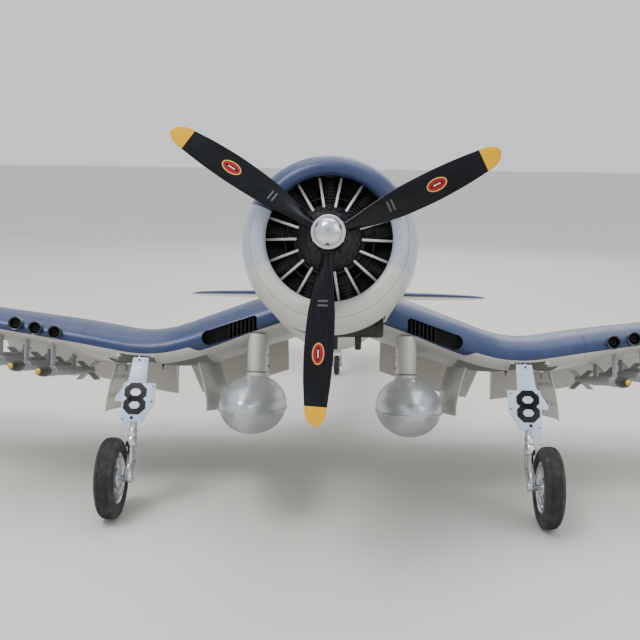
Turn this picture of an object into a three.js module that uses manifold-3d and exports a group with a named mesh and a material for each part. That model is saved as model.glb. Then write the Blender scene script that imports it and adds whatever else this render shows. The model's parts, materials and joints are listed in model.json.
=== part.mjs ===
// Giant-scale radio-controlled naval fighter with an inverted gull wing, standing on its wheels.
// Every part is drawn in the aircraft's own frame, in millimetres: the origin is the centre of the
// propeller disc, +X points to port, +Y aft along the thrust line and +Z up. The finished group is
// then tipped nose-up until the three wheels stand on z = 0.
import * as THREE from 'three';
import { mergeVertices } from 'three/addons/utils/BufferGeometryUtils.js';
import Module from 'manifold-3d';

const wasm = await Module();
wasm.setup();

// ---------------------------------------------------------------- driving dimensions
const NOSE_UP = THREE.MathUtils.degToRad(12.286);   // attitude of the thrust line on the ground
const GAP = 0.3;                                    // air between pieces that touch
const WALL = 2.4;                                   // moulded fuselage wall
const PROP_RADIUS = 254;
const PROP_PHASE = THREE.MathUtils.degToRad(27.3);
const PROP_PITCH = 254;
const SPINNER_RADIUS = 22.5;
const COWL_RADIUS = 128;
const COWL_FRONT = 26;
const COWL_REAR = 190;
const BODY_FRONT = 236;
const SILL_Z = 98;                                  // cockpit edge height
const HOOD_HALF_WIDTH = 60;
const HOOD_TOP = 190;
const FOLD_X = 453;                                 // joint between centre section and outer panel
const TIP_X = 1135;
const FLAP_ANGLE = THREE.MathUtils.degToRad(50);    // flaps stand fully down at rest
const STAB_Z = 42;
const FIN_HINGE_Y = 1652;
const STAB_HINGE_Y = 1690;
const WHEEL_RADIUS = 70;
const WHEEL_WIDTH = 34;
const WHEEL_X = 376.5;
const CONTACT = new THREE.Vector3(WHEEL_X, 406.9, -443.3);
const TAIL_WHEEL_RADIUS = 28;
const TAIL_CONTACT = new THREE.Vector3(0, 1530, -198.7);
const TRUNNION = new THREE.Vector3(348, 467, -152);
const RETRACT_CANT = THREE.MathUtils.degToRad(7);
const DOOR_WALL = 1.8;
const TANK = { x: 139, z: -245, halfWidth: 57, halfHeight: 52.5, nose: 268, tail: 792 };
const ROCKET_PITCH = 49;
const ROCKET_COUNT = 4;
const WHEEL_SIDES = 32;

// ---------------------------------------------------------------- finishes
function finish(color, roughness, metalness) {
  return new THREE.MeshStandardMaterial({ color, roughness, metalness });
}
const NAVY_BLUE = finish(0x3f5f86, 0.3, 0.1);
const PALE_GREY = finish(0xc5c3bf, 0.35, 0.0);
const SIDE_GREY = finish(0x9aabbd, 0.35, 0.0);
const DOOR_BLUE = finish(0xb9cbe0, 0.35, 0.0);
const BLACK_METAL = finish(0x1b1d20, 0.5, 0.6);
const BRIGHT_METAL = finish(0xc9ccd0, 0.25, 0.9);
const SILVER_PAINT = finish(0xaeb2b5, 0.25, 0.5);
const BLADE_BLACK = finish(0x14161f, 0.18, 0.1);
const RUBBER = finish(0x232325, 0.85, 0.0);
const CLEAR = finish(0xbfd4de, 0.05, 0.0);
const PLYWOOD = finish(0xb98f5c, 0.7, 0.0);
const COCKPIT_GREEN = finish(0x4d5a45, 0.7, 0.0);
const OLIVE = finish(0x30402f, 0.5, 0.1);
const TANK_WHITE = finish(0xe4e4dc, 0.5, 0.0);
const PACK_BLUE = finish(0x234a8a, 0.5, 0.0);

// ---------------------------------------------------------------- solids and booleans
// Turns every face outward when a profile was drawn in the other direction.
function outward(geometry) {
  const position = geometry.getAttribute('position');
  const index = geometry.index;
  const corner = [new THREE.Vector3(), new THREE.Vector3(), new THREE.Vector3()];
  let volume = 0;
  for (let i = 0; i < index.count; i += 3) {
    corner.forEach((point, k) => point.fromBufferAttribute(position, index.getX(i + k)));
    volume += corner[0].dot(corner[1].clone().cross(corner[2]));
  }
  if (volume < 0) {
    for (let i = 0; i < index.count; i += 3) {
      const first = index.getX(i);
      index.setX(i, index.getX(i + 1));
      index.setX(i + 1, first);
    }
  }
  return geometry;
}

function clean(geometry) {
  const bare = geometry.clone();
  bare.deleteAttribute('normal');
  bare.deleteAttribute('uv');
  return outward(mergeVertices(bare, 1e-4));
}

function solid(geometry) {
  const bare = clean(geometry);
  return new wasm.Manifold(new wasm.Mesh({
    numProp: 3,
    vertProperties: new Float32Array(bare.getAttribute('position').array),
    triVerts: new Uint32Array(bare.index.array),
  }));
}

function shape(manifold) {
  const mesh = manifold.getMesh();
  const geometry = new THREE.BufferGeometry();
  geometry.setAttribute('position', new THREE.BufferAttribute(new Float32Array(mesh.vertProperties), 3));
  geometry.setIndex(new THREE.BufferAttribute(new Uint32Array(mesh.triVerts), 1));
  geometry.computeVertexNormals();
  return geometry;
}

const joined = (first, ...rest) => rest.reduce((sum, next) => sum.add(next), first);
const less = (first, ...rest) => rest.reduce((sum, next) => sum.subtract(next), first);

// ---------------------------------------------------------------- basic shapes
// A skin through equal rings of points, closed by a flat cap at each end.
function loft(rings) {
  const size = rings[0].length;
  const points = rings.flat();
  const faces = [];
  for (let r = 0; r + 1 < rings.length; r += 1) {
    for (let i = 0; i < size; i += 1) {
      const j = (i + 1) % size;
      const here = r * size;
      const next = here + size;
      faces.push(here + i, next + i, next + j, here + i, next + j, here + j);
    }
  }
  const span = new THREE.Box3().setFromPoints(rings[0]).getSize(new THREE.Vector3());
  const thin = span.x < Math.min(span.y, span.z) ? 'x' : (span.y < span.z ? 'y' : 'z');
  const [u, v] = { x: ['y', 'z'], y: ['x', 'z'], z: ['x', 'y'] }[thin];
  const flat = (ring) => ring.map((p) => new THREE.Vector2(p[u], p[v]));
  const cap = THREE.ShapeUtils.triangulateShape(flat(rings[0]), []);
  const last = (rings.length - 1) * size;
  const forward = faces.length;
  cap.forEach(([a, b, c]) => faces.push(a, b, c));
  const lastCap = THREE.ShapeUtils.triangulateShape(flat(rings[rings.length - 1]), []);
  lastCap.forEach(([a, b, c]) => faces.push(last + a, last + c, last + b));
  const geometry = new THREE.BufferGeometry().setFromPoints(points);
  geometry.setIndex(faces);
  return orientCaps(geometry, forward, cap.length);
}

// Caps must run the opposite way round to the wall's own edges.
function orientCaps(geometry, start, firstCapCount) {
  const faces = Array.from(geometry.index.array);
  const wallEdge = new Set();
  for (let i = 0; i < start; i += 3) {
    for (let k = 0; k < 3; k += 1) {
      wallEdge.add(`${faces[i + k]}-${faces[i + (k + 1) % 3]}`);
    }
  }
  const flip = (from, to) => {
    let same = false;
    for (let i = from; i < to; i += 3) {
      for (let k = 0; k < 3; k += 1) {
        same = same || wallEdge.has(`${faces[i + k]}-${faces[i + (k + 1) % 3]}`);
      }
    }
    if (same) {
      for (let i = from; i < to; i += 3) {
        [faces[i], faces[i + 1]] = [faces[i + 1], faces[i]];
      }
    }
  };
  const middle = start + firstCapCount * 3;
  flip(start, middle);
  flip(middle, faces.length);
  geometry.setIndex(faces);
  return outward(geometry);
}

const at = (x, y, z) => new THREE.Vector3(x, y, z);

// Turned about the thrust direction: profile points are [radius, y].
function turned(profile, sides = 32) {
  return new THREE.LatheGeometry(profile.map(([r, y]) => new THREE.Vector2(r, y)), sides);
}

function box(x0, x1, y0, y1, z0, z1) {
  const geometry = new THREE.BoxGeometry(x1 - x0, y1 - y0, z1 - z0);
  return geometry.translate((x0 + x1) / 2, (y0 + y1) / 2, (z0 + z1) / 2);
}

// A straight bar between two points, round or tapered.
function bar(from, to, radius, radiusTo = radius, sides = 12) {
  const along = to.clone().sub(from);
  const geometry = new THREE.CylinderGeometry(radiusTo, radius, along.length(), sides);
  const turn = new THREE.Quaternion().setFromUnitVectors(at(0, 1, 0), along.clone().normalize());
  geometry.applyQuaternion(turn);
  const middle = from.clone().add(to).multiplyScalar(0.5);
  return geometry.translate(middle.x, middle.y, middle.z);
}

// An outline in plan (x, y), cut straight up and down.
function planRegion(outline, low = -420, high = 320) {
  const plan = new THREE.Shape(outline.map(([x, y]) => new THREE.Vector2(x, y)));
  const geometry = new THREE.ExtrudeGeometry(plan, { depth: high - low, bevelEnabled: false });
  return geometry.translate(0, 0, low);
}

// An outline seen from the front (x, z), cut fore and aft.
function frontRegion(plan, front, rear) {
  const geometry = new THREE.ExtrudeGeometry(plan, { depth: rear - front, bevelEnabled: false });
  return geometry.rotateX(Math.PI / 2).translate(0, rear, 0);
}

// Straight-line reading of a table of [key, value, value, ...] rows.
function read(table, key) {
  const last = table.length - 1;
  const hi = Math.min(last, Math.max(1, table.findIndex((row) => row[0] >= key)));
  const upper = table[key > table[last][0] ? last : hi];
  const lower = table[table.indexOf(upper) - 1];
  const t = (key - lower[0]) / (upper[0] - lower[0]);
  return upper.map((value, k) => lower[k] + (value - lower[k]) * t);
}

// ---------------------------------------------------------------- meshes
const aircraft = new THREE.Group();
const starboard = new THREE.Group();
starboard.scale.x = -1;
aircraft.add(starboard);

function add(name, geometry, material, parent = aircraft) {
  const mesh = new THREE.Mesh(geometry, material);
  mesh.name = name;
  parent.add(mesh);
  return mesh;
}

function addPair(stem, geometry, material, place = () => {}) {
  place(add(`${stem}_left`, geometry, material));
  place(add(`${stem}_right`, geometry, material, starboard));
}

// Swings a mesh about a line through a point.
function swing(mesh, point, axis, angle) {
  mesh.quaternion.setFromAxisAngle(axis, angle);
  mesh.position.copy(point).sub(point.clone().applyQuaternion(mesh.quaternion));
}

// ---------------------------------------------------------------- lifting surfaces
// Thickness of a classic four-digit section along its chord, 1 at its thickest.
function section(s) {
  return (0.2969 * Math.sqrt(s) - 0.126 * s - 0.3516 * s ** 2 + 0.2843 * s ** 3 - 0.1 * s ** 4) / 0.1;
}
const CHORD_STEPS = [0, 0.008, 0.04, 0.11, 0.22, 0.38, 0.58, 0.78, 1];

// Wing: [distance from centreline, leading edge y, trailing edge y, nose height, thickness]
const WING = [
  [0, 450, 935, -56, 95],
  [60, 450, 935, -71, 95],
  [100, 450, 935, -84.5, 95],
  [136, 450, 935, -97, 95],
  [180, 450, 935, -112.5, 94],
  [235, 450, 934, -131.6, 92],
  [275, 450, 932, -144, 87],
  [310, 450, 930, -151, 82],
  [340, 450, 928, -152.5, 78],
  [364, 450, 925, -151, 76],
  [400, 450, 921, -145.5, 75],
  [FOLD_X, 450, 915, -136.5, 74],
  [600, 453, 896, -113.5, 66],
  [800, 462, 858, -82, 54],
  [960, 475, 818, -57, 45],
  [1040, 488, 786, -44.5, 38],
  [1090, 508, 750, -36.7, 30],
  [1118, 534, 716, -32.3, 20],
  [1130, 560, 690, -30.4, 12],
  [TIP_X, 588, 664, -29.6, 5],
];
const WING_LIFT = 0.59;        // share of the thickness above the nose line
const WING_INCIDENCE = 0.02;   // the chord falls this much per millimetre aft

function wingAt(x, y) {
  const [, lead, trail, nose, thick] = read(WING, Math.abs(x));
  const s = THREE.MathUtils.clamp((y - lead) / (trail - lead), 0, 1);
  const half = thick * section(s) / 2;
  const middle = nose + thick * section(s) * (WING_LIFT - 0.5) - (y - lead) * WING_INCIDENCE;
  return { lead, trail, nose, thick, half, middle, top: middle + half, bottom: middle - half };
}

function wingRing(x, grow) {
  const { lead, trail } = wingAt(x, 0);
  const upper = [];
  const lower = [];
  CHORD_STEPS.forEach((s) => {
    const y = lead + s * (trail - lead);
    const here = wingAt(x, y);
    const half = Math.max(here.half + grow, 0.5);
    const shifted = y + grow * (2 * s - 1);
    upper.push(at(x, shifted, here.middle + half));
    lower.push(at(x, shifted, here.middle - half));
  });
  return upper.concat(lower.reverse());
}

function wingSolid(xs, grow = 0) {
  return solid(loft(xs.map((x) => wingRing(x, grow))));
}

const CENTRE_HALF = WING.map((row) => row[0]).filter((x) => x < FOLD_X);
const CENTRE_XS = [...CENTRE_HALF.slice(1).map((x) => -x).reverse(), ...CENTRE_HALF];
const PANEL_XS = WING.map((row) => row[0]).filter((x) => x > FOLD_X);

function centreSolid(grow = 0) {
  const edge = FOLD_X - GAP / 2;
  return wingSolid([-edge, ...CENTRE_XS, edge], grow);
}

function panelSolid(grow = 0) {
  return wingSolid([FOLD_X + GAP / 2, ...PANEL_XS], grow);
}

// A hinged trailing surface has a round nose about its hinge line, and ends square to that line.
const COVE_GAP = 1.5;
const END_GAP = 1.2;
const NOSE_INSET = 1.6;
const NOSE_REACH = 6;

function hingeNose(from, to, inset, extra, sides = 16) {
  const along = to.point.clone().sub(from.point).normalize();
  const start = from.point.clone().addScaledVector(along, -extra);
  const end = to.point.clone().addScaledVector(along, extra);
  return solid(bar(start, end, from.half - inset, to.half - inset, sides));
}

// Everything between the two ends of a hinge line.
function hingeSpan(from, to, extra) {
  const along = to.point.clone().sub(from.point);
  const geometry = new THREE.BoxGeometry(along.length() + 2 * extra, 640, 640);
  geometry.applyQuaternion(new THREE.Quaternion().setFromUnitVectors(at(1, 0, 0), along.normalize()));
  const middle = from.point.clone().add(to.point).multiplyScalar(0.5);
  return solid(geometry.translate(middle.x, middle.y, middle.z));
}

function hingedSurface(parent, from, to, outline) {
  const behind = parent.intersect(solid(planRegion(outline))).intersect(hingeSpan(from, to, 0));
  return joined(hingeNose(from, to, NOSE_INSET, 0), behind);
}

// The hinge line in plan, run on past both ends and shifted aft.
function hingeLine(from, to, extra, shift) {
  const slope = (to.point.y - from.point.y) / (to.point.x - from.point.x);
  const [x0, x1] = [from.point.x - extra, to.point.x + extra];
  return [[x0, from.point.y - extra * slope + shift], [x1, to.point.y + extra * slope + shift]];
}

// A flap's lower corner swings forward, so the wing's lower lip stops short of it.
function lipRelief(from, to) {
  const along = to.point.clone().sub(from.point);
  const length = along.length() + 2 * END_GAP;
  const back = Math.max(from.half, to.half);
  const geometry = new THREE.BoxGeometry(length, 60, 60).translate(0, 30 - back * 0.85, -31);
  geometry.applyQuaternion(new THREE.Quaternion().setFromUnitVectors(at(1, 0, 0), along.normalize()));
  const middle = from.point.clone().add(to.point).multiplyScalar(0.5);
  return solid(geometry.translate(middle.x, middle.y, middle.z));
}

function hingeCut(from, to, isFlap) {
  const [start, end] = hingeLine(from, to, 60, -1);
  const region = solid(planRegion([start, end, [end[0], 990], [start[0], 990]]));
  const bay = region.intersect(hingeSpan(from, to, END_GAP));
  const cove = joined(bay, hingeNose(from, to, NOSE_INSET - COVE_GAP, END_GAP));
  return isFlap ? joined(cove, lipRelief(from, to)) : cove;
}

function wingHinge(x, y) {
  const here = wingAt(x, y);
  return { point: at(x, y, here.middle), half: here.half };
}

// [name, inner x, outer x, hinge y inner, hinge y outer, inner tip x, outer tip x]
const CENTRE_SURFACES = [
  ['flap_inner', 104, 320, 822, 822, 130, 322],
  ['flap_mid', 343, 445, 820, 813, 341, 445],
];
const PANEL_SURFACES = [
  ['flap_outer', 458, 715, 812, 795, 458, 715],
  ['aileron', 721, 1084, 794, 706, 721, 1084],
];

function surfaceParts(row) {
  const [name, inner, outer, innerY, outerY, innerTip, outerTip] = row;
  const from = wingHinge(inner, innerY);
  const to = wingHinge(outer, outerY);
  const outline = [...hingeLine(from, to, 10, NOSE_REACH), [outerTip + 10, 990], [innerTip - 10, 990]];
  return { name, from, to, outline };
}

function addSurfaces(rows, parent) {
  rows.forEach((row) => {
    const { name, from, to, outline } = surfaceParts(row);
    const geometry = shape(hingedSurface(parent, from, to, outline));
    const axis = to.point.clone().sub(from.point).normalize();
    const angle = name.startsWith('flap') ? -FLAP_ANGLE : 0;
    addPair(name, geometry, PALE_GREY, (mesh) => swing(mesh, from.point, axis, angle));
  });
}

function cutSurfaces(rows, parent) {
  return rows.reduce((sum, row) => {
    const { name, from, to } = surfaceParts(row);
    return less(sum, hingeCut(from, to, name.startsWith('flap')));
  }, parent);
}

// ---------------------------------------------------------------- wing centre section
const WELL = { inner: 230, outer: 413, front: 486, rear: 774.5, skin: 3, mouth: -146 };
const CHANNEL = { inner: 321, outer: 391, front: 455.5, roof: -140 };
const INTAKE = { inner: 136, outer: 235, half: 13.5, rear: 484, vaneStep: 7.2, vanes: 7, vaneWall: 1.6 };

function wheelWell() {
  const outline = [
    [WELL.inner, WELL.front],
    [WELL.outer, WELL.front],
    [WELL.outer, WELL.rear],
    [WELL.inner, WELL.rear],
  ];
  const inside = centreSolid(-WELL.skin).intersect(solid(planRegion(outline)));
  const mouth = solid(planRegion(outline, -260, WELL.mouth));
  const channel = solid(box(CHANNEL.inner, CHANNEL.outer, CHANNEL.front, WELL.front + 2, -260, CHANNEL.roof));
  return joined(inside, mouth, channel, bearingPin(4.4, 36));
}

function retractAxis() {
  return at(Math.cos(RETRACT_CANT), Math.sin(RETRACT_CANT), 0);
}

function bearingPin(radius, reach) {
  const along = retractAxis().multiplyScalar(reach);
  const from = TRUNNION.clone().sub(along);
  const to = TRUNNION.clone().add(along);
  return solid(bar(from, to, radius, radius, 12));
}

// The oil-cooler slot follows the nose line: square at the body, round at its outer end.
function intakeSlot() {
  const slope = (wingAt(INTAKE.outer, 450).nose - wingAt(INTAKE.inner, 450).nose) / (INTAKE.outer - INTAKE.inner);
  const height = (x) => wingAt(INTAKE.inner, 450).nose + (x - INTAKE.inner) * slope;
  const turnX = INTAKE.outer - INTAKE.half;
  const plan = new THREE.Shape();
  plan.moveTo(INTAKE.inner, height(INTAKE.inner) - INTAKE.half);
  plan.lineTo(turnX, height(turnX) - INTAKE.half);
  plan.absarc(turnX, height(turnX), INTAKE.half, -Math.PI / 2, Math.PI / 2, false);
  plan.lineTo(INTAKE.inner, height(INTAKE.inner) + INTAKE.half);
  const slot = solid(frontRegion(plan, 420, INTAKE.rear));
  const vanes = [];
  for (let i = 0; i < INTAKE.vanes; i += 1) {
    const x = INTAKE.inner + 6 + i * INTAKE.vaneStep;
    vanes.push(solid(box(x, x + INTAKE.vaneWall, 457, INTAKE.rear + 5, -160, -60)));
  }
  return less(slot, ...vanes);
}

function mirrored(manifold) {
  return manifold.mirror([1, 0, 0]);
}

function wingCentre() {
  const oneSide = joined(wheelWell(), intakeSlot());
  const cut = cutSurfaces(CENTRE_SURFACES, less(centreSolid(), oneSide));
  return cutSurfaces(CENTRE_SURFACES, mirrored(less(cut, mirrored(oneSide))));
}

function wingPanel() {
  return cutSurfaces(PANEL_SURFACES, panelSolid());
}

// Two doors a side close the wheel well; each is a slice of the wing's own lower skin.
const DOORS = [
  { name: 'wheel_door_inner', hinge: 231.5, free: 320.5, angle: -90 },
  { name: 'wheel_door_outer', hinge: 411.5, free: 322.5, angle: 94 },
];

function doorHinge(door) {
  const lowest = Math.min(...[520, 560, 600, 640].map((y) => wingAt(door.hinge, y).bottom));
  return at(door.hinge, WELL.front, lowest - 0.5);
}

function wheelDoor(door) {
  const [low, high] = [Math.min(door.hinge, door.free), Math.max(door.hinge, door.free)];
  const outline = [[low, WELL.front + 2], [high, WELL.front + 2], [high, WELL.rear - 2], [low, WELL.rear - 2]];
  const skin = less(centreSolid(), centreSolid(-DOOR_WALL), centreSolid(-DOOR_WALL).translate([0, 0, 30]));
  const region = solid(planRegion(outline, -260, wingAt(low, 600).middle - 12));
  return skin.intersect(region);
}

// ---------------------------------------------------------------- fuselage
// [y, half width, top, bottom]; the sides are egg-shaped above their widest line.
const BODY = [
  [BODY_FRONT, 121, 124, -131],
  [300, 123, 127, -137],
  [460, 123, 129, -143],
  [640, 119, 133, -143],
  [790, 112, 137, -138],
  [845, 109, 139, -134],
  [960, 101, 150, -123],
  [1090, 88, 152, -106],
  [1200, 77, 144, -90],
  [1330, 63, 126, -70],
  [1450, 49, 104, -51],
  [1560, 36, 80, -33],
  [1652, 26, 62, -16],
  [1740, 15, 52, 14],
  [1790, 8, 46, 30],
  [1804, 3, 42, 35],
];
const BODY_SIDES = 28;
const HOLLOW_SIDES = 16;
const BODY_WAIST = -5;

function eggPower(y) {
  return THREE.MathUtils.clamp(2 - (y - 560) * 0.0012, 1.6, 2);
}

function bodyRing(row, shrink, sides) {
  const [y, width, top, bottom] = row;
  const waist = Math.min(Math.max(BODY_WAIST, bottom + (top - bottom) * 0.45), top);
  const points = [];
  for (let i = 0; i < sides; i += 1) {
    const angle = (i / sides) * 2 * Math.PI;
    const power = Math.sin(angle) > 0 ? eggPower(y) : 2;
    const across = Math.sign(Math.cos(angle)) * Math.abs(Math.cos(angle)) ** (2 / power);
    const rise = Math.abs(Math.sin(angle)) ** (2 / power);
    const reach = Math.sin(angle) > 0 ? top - waist : bottom - waist;
    const height = reach - Math.sign(reach) * shrink;
    points.push(at(across * (width - shrink), y, waist + rise * height));
  }
  return points;
}

function bodySolid(shrink, rows, sides = BODY_SIDES) {
  return solid(loft(rows.map((row) => bodyRing(row, shrink, sides))));
}

// Fin: [z, leading edge y, trailing edge y, thickness]
const FIN = [
  [30, 1420, 1768, 27],
  [100, 1472, 1772, 24],
  [160, 1516, 1770, 21],
  [220, 1560, 1758, 17],
  [262, 1592, 1738, 13],
  [286, 1618, 1716, 8],
  [298, 1650, 1686, 3],
];
// Tailplane: [x, leading edge y, trailing edge y, thickness]
const STAB = [
  [10, 1522, 1792, 25],
  [60, 1534, 1792, 24],
  [200, 1558, 1787, 20],
  [330, 1584, 1775, 16],
  [400, 1604, 1756, 12],
  [432, 1624, 1734, 8],
  [450, 1650, 1702, 3],
];
const TAIL_STEPS = [0, 0.02, 0.08, 0.2, 0.36, 0.52, 0.68, 0.84, 1];

function tailRing(row, place) {
  const [key, lead, trail, thick] = row;
  const half = (s) => Math.max(thick * section(s) / 2, 0.6);
  const upper = TAIL_STEPS.map((s) => place(key, lead + s * (trail - lead), half(s)));
  const lower = TAIL_STEPS.map((s) => place(key, lead + s * (trail - lead), -half(s)));
  return upper.concat(lower.reverse());
}

const finPlace = (z, y, side) => at(side, y, z);
const stabPlace = (x, y, side) => at(x, y, STAB_Z + side);

function tailHinge(table, key, hingeY, place) {
  const [, lead, trail, thick] = read(table, key);
  const half = thick * section((hingeY - lead) / (trail - lead)) / 2;
  return { point: place(key, hingeY, 0), half };
}

const RUDDER = { low: 81, high: 284 };
const ELEVATOR = { inner: 27, outer: 426 };
const TAIL_INSET = 0.8;
const TAIL_COVE = 1.4;
const TAIL_REACH = 3;

function finSolid() {
  return solid(loft(FIN.map((row) => tailRing(row, finPlace))));
}

function stabSolid() {
  return solid(loft(STAB.map((row) => tailRing(row, stabPlace))));
}

function rudderEnds() {
  return [tailHinge(FIN, RUDDER.low, FIN_HINGE_Y, finPlace), tailHinge(FIN, RUDDER.high, FIN_HINGE_Y, finPlace)];
}

function elevatorEnds() {
  return [
    tailHinge(STAB, ELEVATOR.inner, STAB_HINGE_Y, stabPlace),
    tailHinge(STAB, ELEVATOR.outer, STAB_HINGE_Y, stabPlace),
  ];
}

// The sliding hood's edges run back in two slots beside the spine.
const RAIL = { x: 58, half: 4.5, front: 1085, rear: 1250 };

function fuselage() {
  const outer = bodySolid(0, BODY);
  const hollowRows = [[BODY_FRONT - 20, 121, 124, -131], ...BODY.filter((row) => row[0] < 1600)];
  const hollow = bodySolid(WALL, hollowRows, HOLLOW_SIDES);
  const cockpit = solid(box(-90, 90, 846, 1090, SILL_Z, 220));
  const tailBay = solid(box(-17, 17, 1462, 1552, -120, -8));
  const rails = [-1, 1].map((side) => {
    const middle = side * RAIL.x;
    return solid(box(middle - RAIL.half, middle + RAIL.half, RAIL.front, RAIL.rear, SILL_Z - 0.4, 220));
  });
  const shell = less(outer, hollow, cockpit, centreSolid(0.4), tailBay, ...rails);
  const [low, high] = rudderEnds();
  const behind = solid(box(-40, 40, FIN_HINGE_Y - 1, 1900, RUDDER.low - 1.2, 400));
  const tip = less(behind, solid(box(-40, 40, 1600, 1900, RUDDER.high + 1.2, 400)));
  const fin = less(finSolid(), behind, tip);
  const cove = hingeNose(low, high, TAIL_INSET - TAIL_COVE, END_GAP, 12);
  return less(joined(shell, fin), cove);
}

function rudder() {
  const [low, high] = rudderEnds();
  const region = solid(box(-40, 40, FIN_HINGE_Y + TAIL_REACH, 1900, RUDDER.low, 400));
  return joined(hingeNose(low, high, TAIL_INSET, 0, 12), finSolid().intersect(region));
}

function stabilizer() {
  const [inner, outer] = elevatorEnds();
  const behind = solid(box(ELEVATOR.inner - 1.2, ELEVATOR.outer + 1.2, STAB_HINGE_Y - 1, 1900, -50, 150));
  const inboard = solid(box(-50, ELEVATOR.inner, STAB_HINGE_Y - 12, 1900, -50, 150));
  const root = bodySolid(-GAP, BODY);
  const cove = hingeNose(inner, outer, TAIL_INSET - TAIL_COVE, END_GAP, 12);
  return less(stabSolid(), behind, inboard, cove, root);
}

function elevator() {
  const [inner, outer] = elevatorEnds();
  const region = solid(box(ELEVATOR.inner, ELEVATOR.outer, STAB_HINGE_Y + TAIL_REACH, 1900, -50, 150));
  return joined(hingeNose(inner, outer, TAIL_INSET, 0, 12), stabSolid().intersect(region));
}

// ---------------------------------------------------------------- cockpit
// A tunnel with a round roof: wide and upright at the sill, crowned on top.
function tunnelRing(y, halfWidth, top, floor) {
  const points = [at(halfWidth, y, floor)];
  const rise = top - floor;
  const steps = 10;
  for (let i = 1; i < steps; i += 1) {
    const angle = (i / steps) * Math.PI;
    const across = Math.sign(Math.cos(angle)) * Math.abs(Math.cos(angle)) ** 0.8;
    points.push(at(across * halfWidth, y, floor + rise * Math.sin(angle) ** 0.72));
  }
  points.push(at(-halfWidth, y, floor));
  return points;
}

function tunnel(rows, wall) {
  const floor = SILL_Z + 0.4;
  const skin = solid(loft(rows.map(([y, width, top]) => tunnelRing(y, width, top, floor))));
  const last = rows.length - 1;
  const hollowRows = rows.map(([y, width, top], k) => {
    const past = k === 0 ? -3 : (k === last ? 3 : 0);
    return tunnelRing(y + past, width - wall, top - wall, floor - 5);
  });
  return less(skin, solid(loft(hollowRows)));
}

function windscreen() {
  return tunnel([[846.5, 58, 143], [876, 59.5, 172], [903.5, HOOD_HALF_WIDTH, HOOD_TOP - 1]], 2);
}

function canopyHood() {
  const rows = [
    [904, HOOD_HALF_WIDTH, HOOD_TOP - 1],
    [945, HOOD_HALF_WIDTH, HOOD_TOP],
    [1000, HOOD_HALF_WIDTH, HOOD_TOP - 4],
    [1048, HOOD_HALF_WIDTH, HOOD_TOP - 14],
    [1089, HOOD_HALF_WIDTH - 1, 163],
  ];
  return tunnel(rows, 2);
}

function cockpitTub() {
  const outer = solid(box(-54, 54, 850, 1086, 16, 95));
  const inside = solid(box(-51, 51, 853, 1083, 19, 120));
  const panel = solid(box(-52, 52, 872, 880, 50, 94));
  const seatPan = solid(box(-26, 26, 975, 1030, 19, 52));
  const seatBack = solid(box(-26, 26, 1024, 1033, 19, 112));
  const stick = solid(bar(at(0, 946, 18), at(0, 940, 72), 3, 2.2, 12));
  const sideBoxes = [-1, 1].map((side) => solid(box(34 * side - 17, 34 * side + 17, 900, 1000, 18, 46)));
  return joined(less(outer, inside), panel, seatPan, seatBack, stick, ...sideBoxes);
}

// ---------------------------------------------------------------- nose and engine
function cowling() {
  const profile = [
    [86.5, 33], [91, 27], [97.5, COWL_FRONT], [105, 30], [112, 39], [119, 57], [125, 90], [COWL_RADIUS, 140],
    [COWL_RADIUS, COWL_REAR], [COWL_RADIUS - WALL, COWL_REAR], [COWL_RADIUS - WALL, 140], [122.5, 92], [112, 50],
    [89, 37],
  ];
  const shell = solid(turned([...profile, profile[0]], 36));
  const exit = solid(box(-48, 98, 160, 240, -140, -88));
  return less(shell, exit);
}

function cowlFlapRing() {
  const profile = [[125.2, 190.6], [129.5, 232], [127.6, 232.4], [123.2, 190.6]];
  const ring = solid(turned([...profile, profile[0]], 30));
  const slots = [];
  const count = 10;
  for (let i = 0; i <= count; i += 1) {
    const angle = THREE.MathUtils.degToRad(-28 + (236 / count) * i);
    const slot = box(110, 140, 199, 250, -0.7, 0.7).rotateY(-angle);
    slots.push(solid(slot));
  }
  const exit = solid(box(-140, 140, 180, 250, -140, -62));
  return less(ring, exit, ...slots);
}

const CYLINDERS = 9;

function dummyRadial() {
  const profile = [
    [9, 22], [20, 22], [30, 27], [38, 36], [45, 44], [47, 60], [50, 66], [50, 104], [9, 104],
  ];
  const body = solid(turned([...profile, profile[0]], 18));
  const pieces = [];
  for (let i = 0; i < CYLINDERS; i += 1) {
    const angle = THREE.MathUtils.degToRad(90 + (360 / CYLINDERS) * i);
    const away = (radius, y) => at(Math.cos(angle) * radius, y, Math.sin(angle) * radius);
    pieces.push(solid(bar(away(40, 84), away(108, 84), 16, 16, 8)));
    pieces.push(solid(bar(away(100, 84), away(115, 84), 19, 15, 8)));
  }
  return joined(body, ...pieces);
}

function spinner() {
  const profile = [
    [0, -47], [9, -45.6], [15.5, -41], [19, -33], [SPINNER_RADIUS, -31], [SPINNER_RADIUS, -16.2], [6, -16.2],
    [6, 126], [0, 126],
  ];
  return solid(turned(profile, 18));
}

// Blade: [radius, chord, thickness]
const BLADE = [
  [10, 15, 13],
  [30, 19, 10],
  [70, 31.5, 7],
  [110, 39.5, 5.4],
  [150, 41, 4.4],
  [190, 38, 3.5],
  [228, 31, 2.7],
  [246, 22, 2],
  [PROP_RADIUS, 9, 1.3],
];
const BLADE_STEPS = [0, 0.06, 0.25, 0.5, 0.75, 1];

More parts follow.
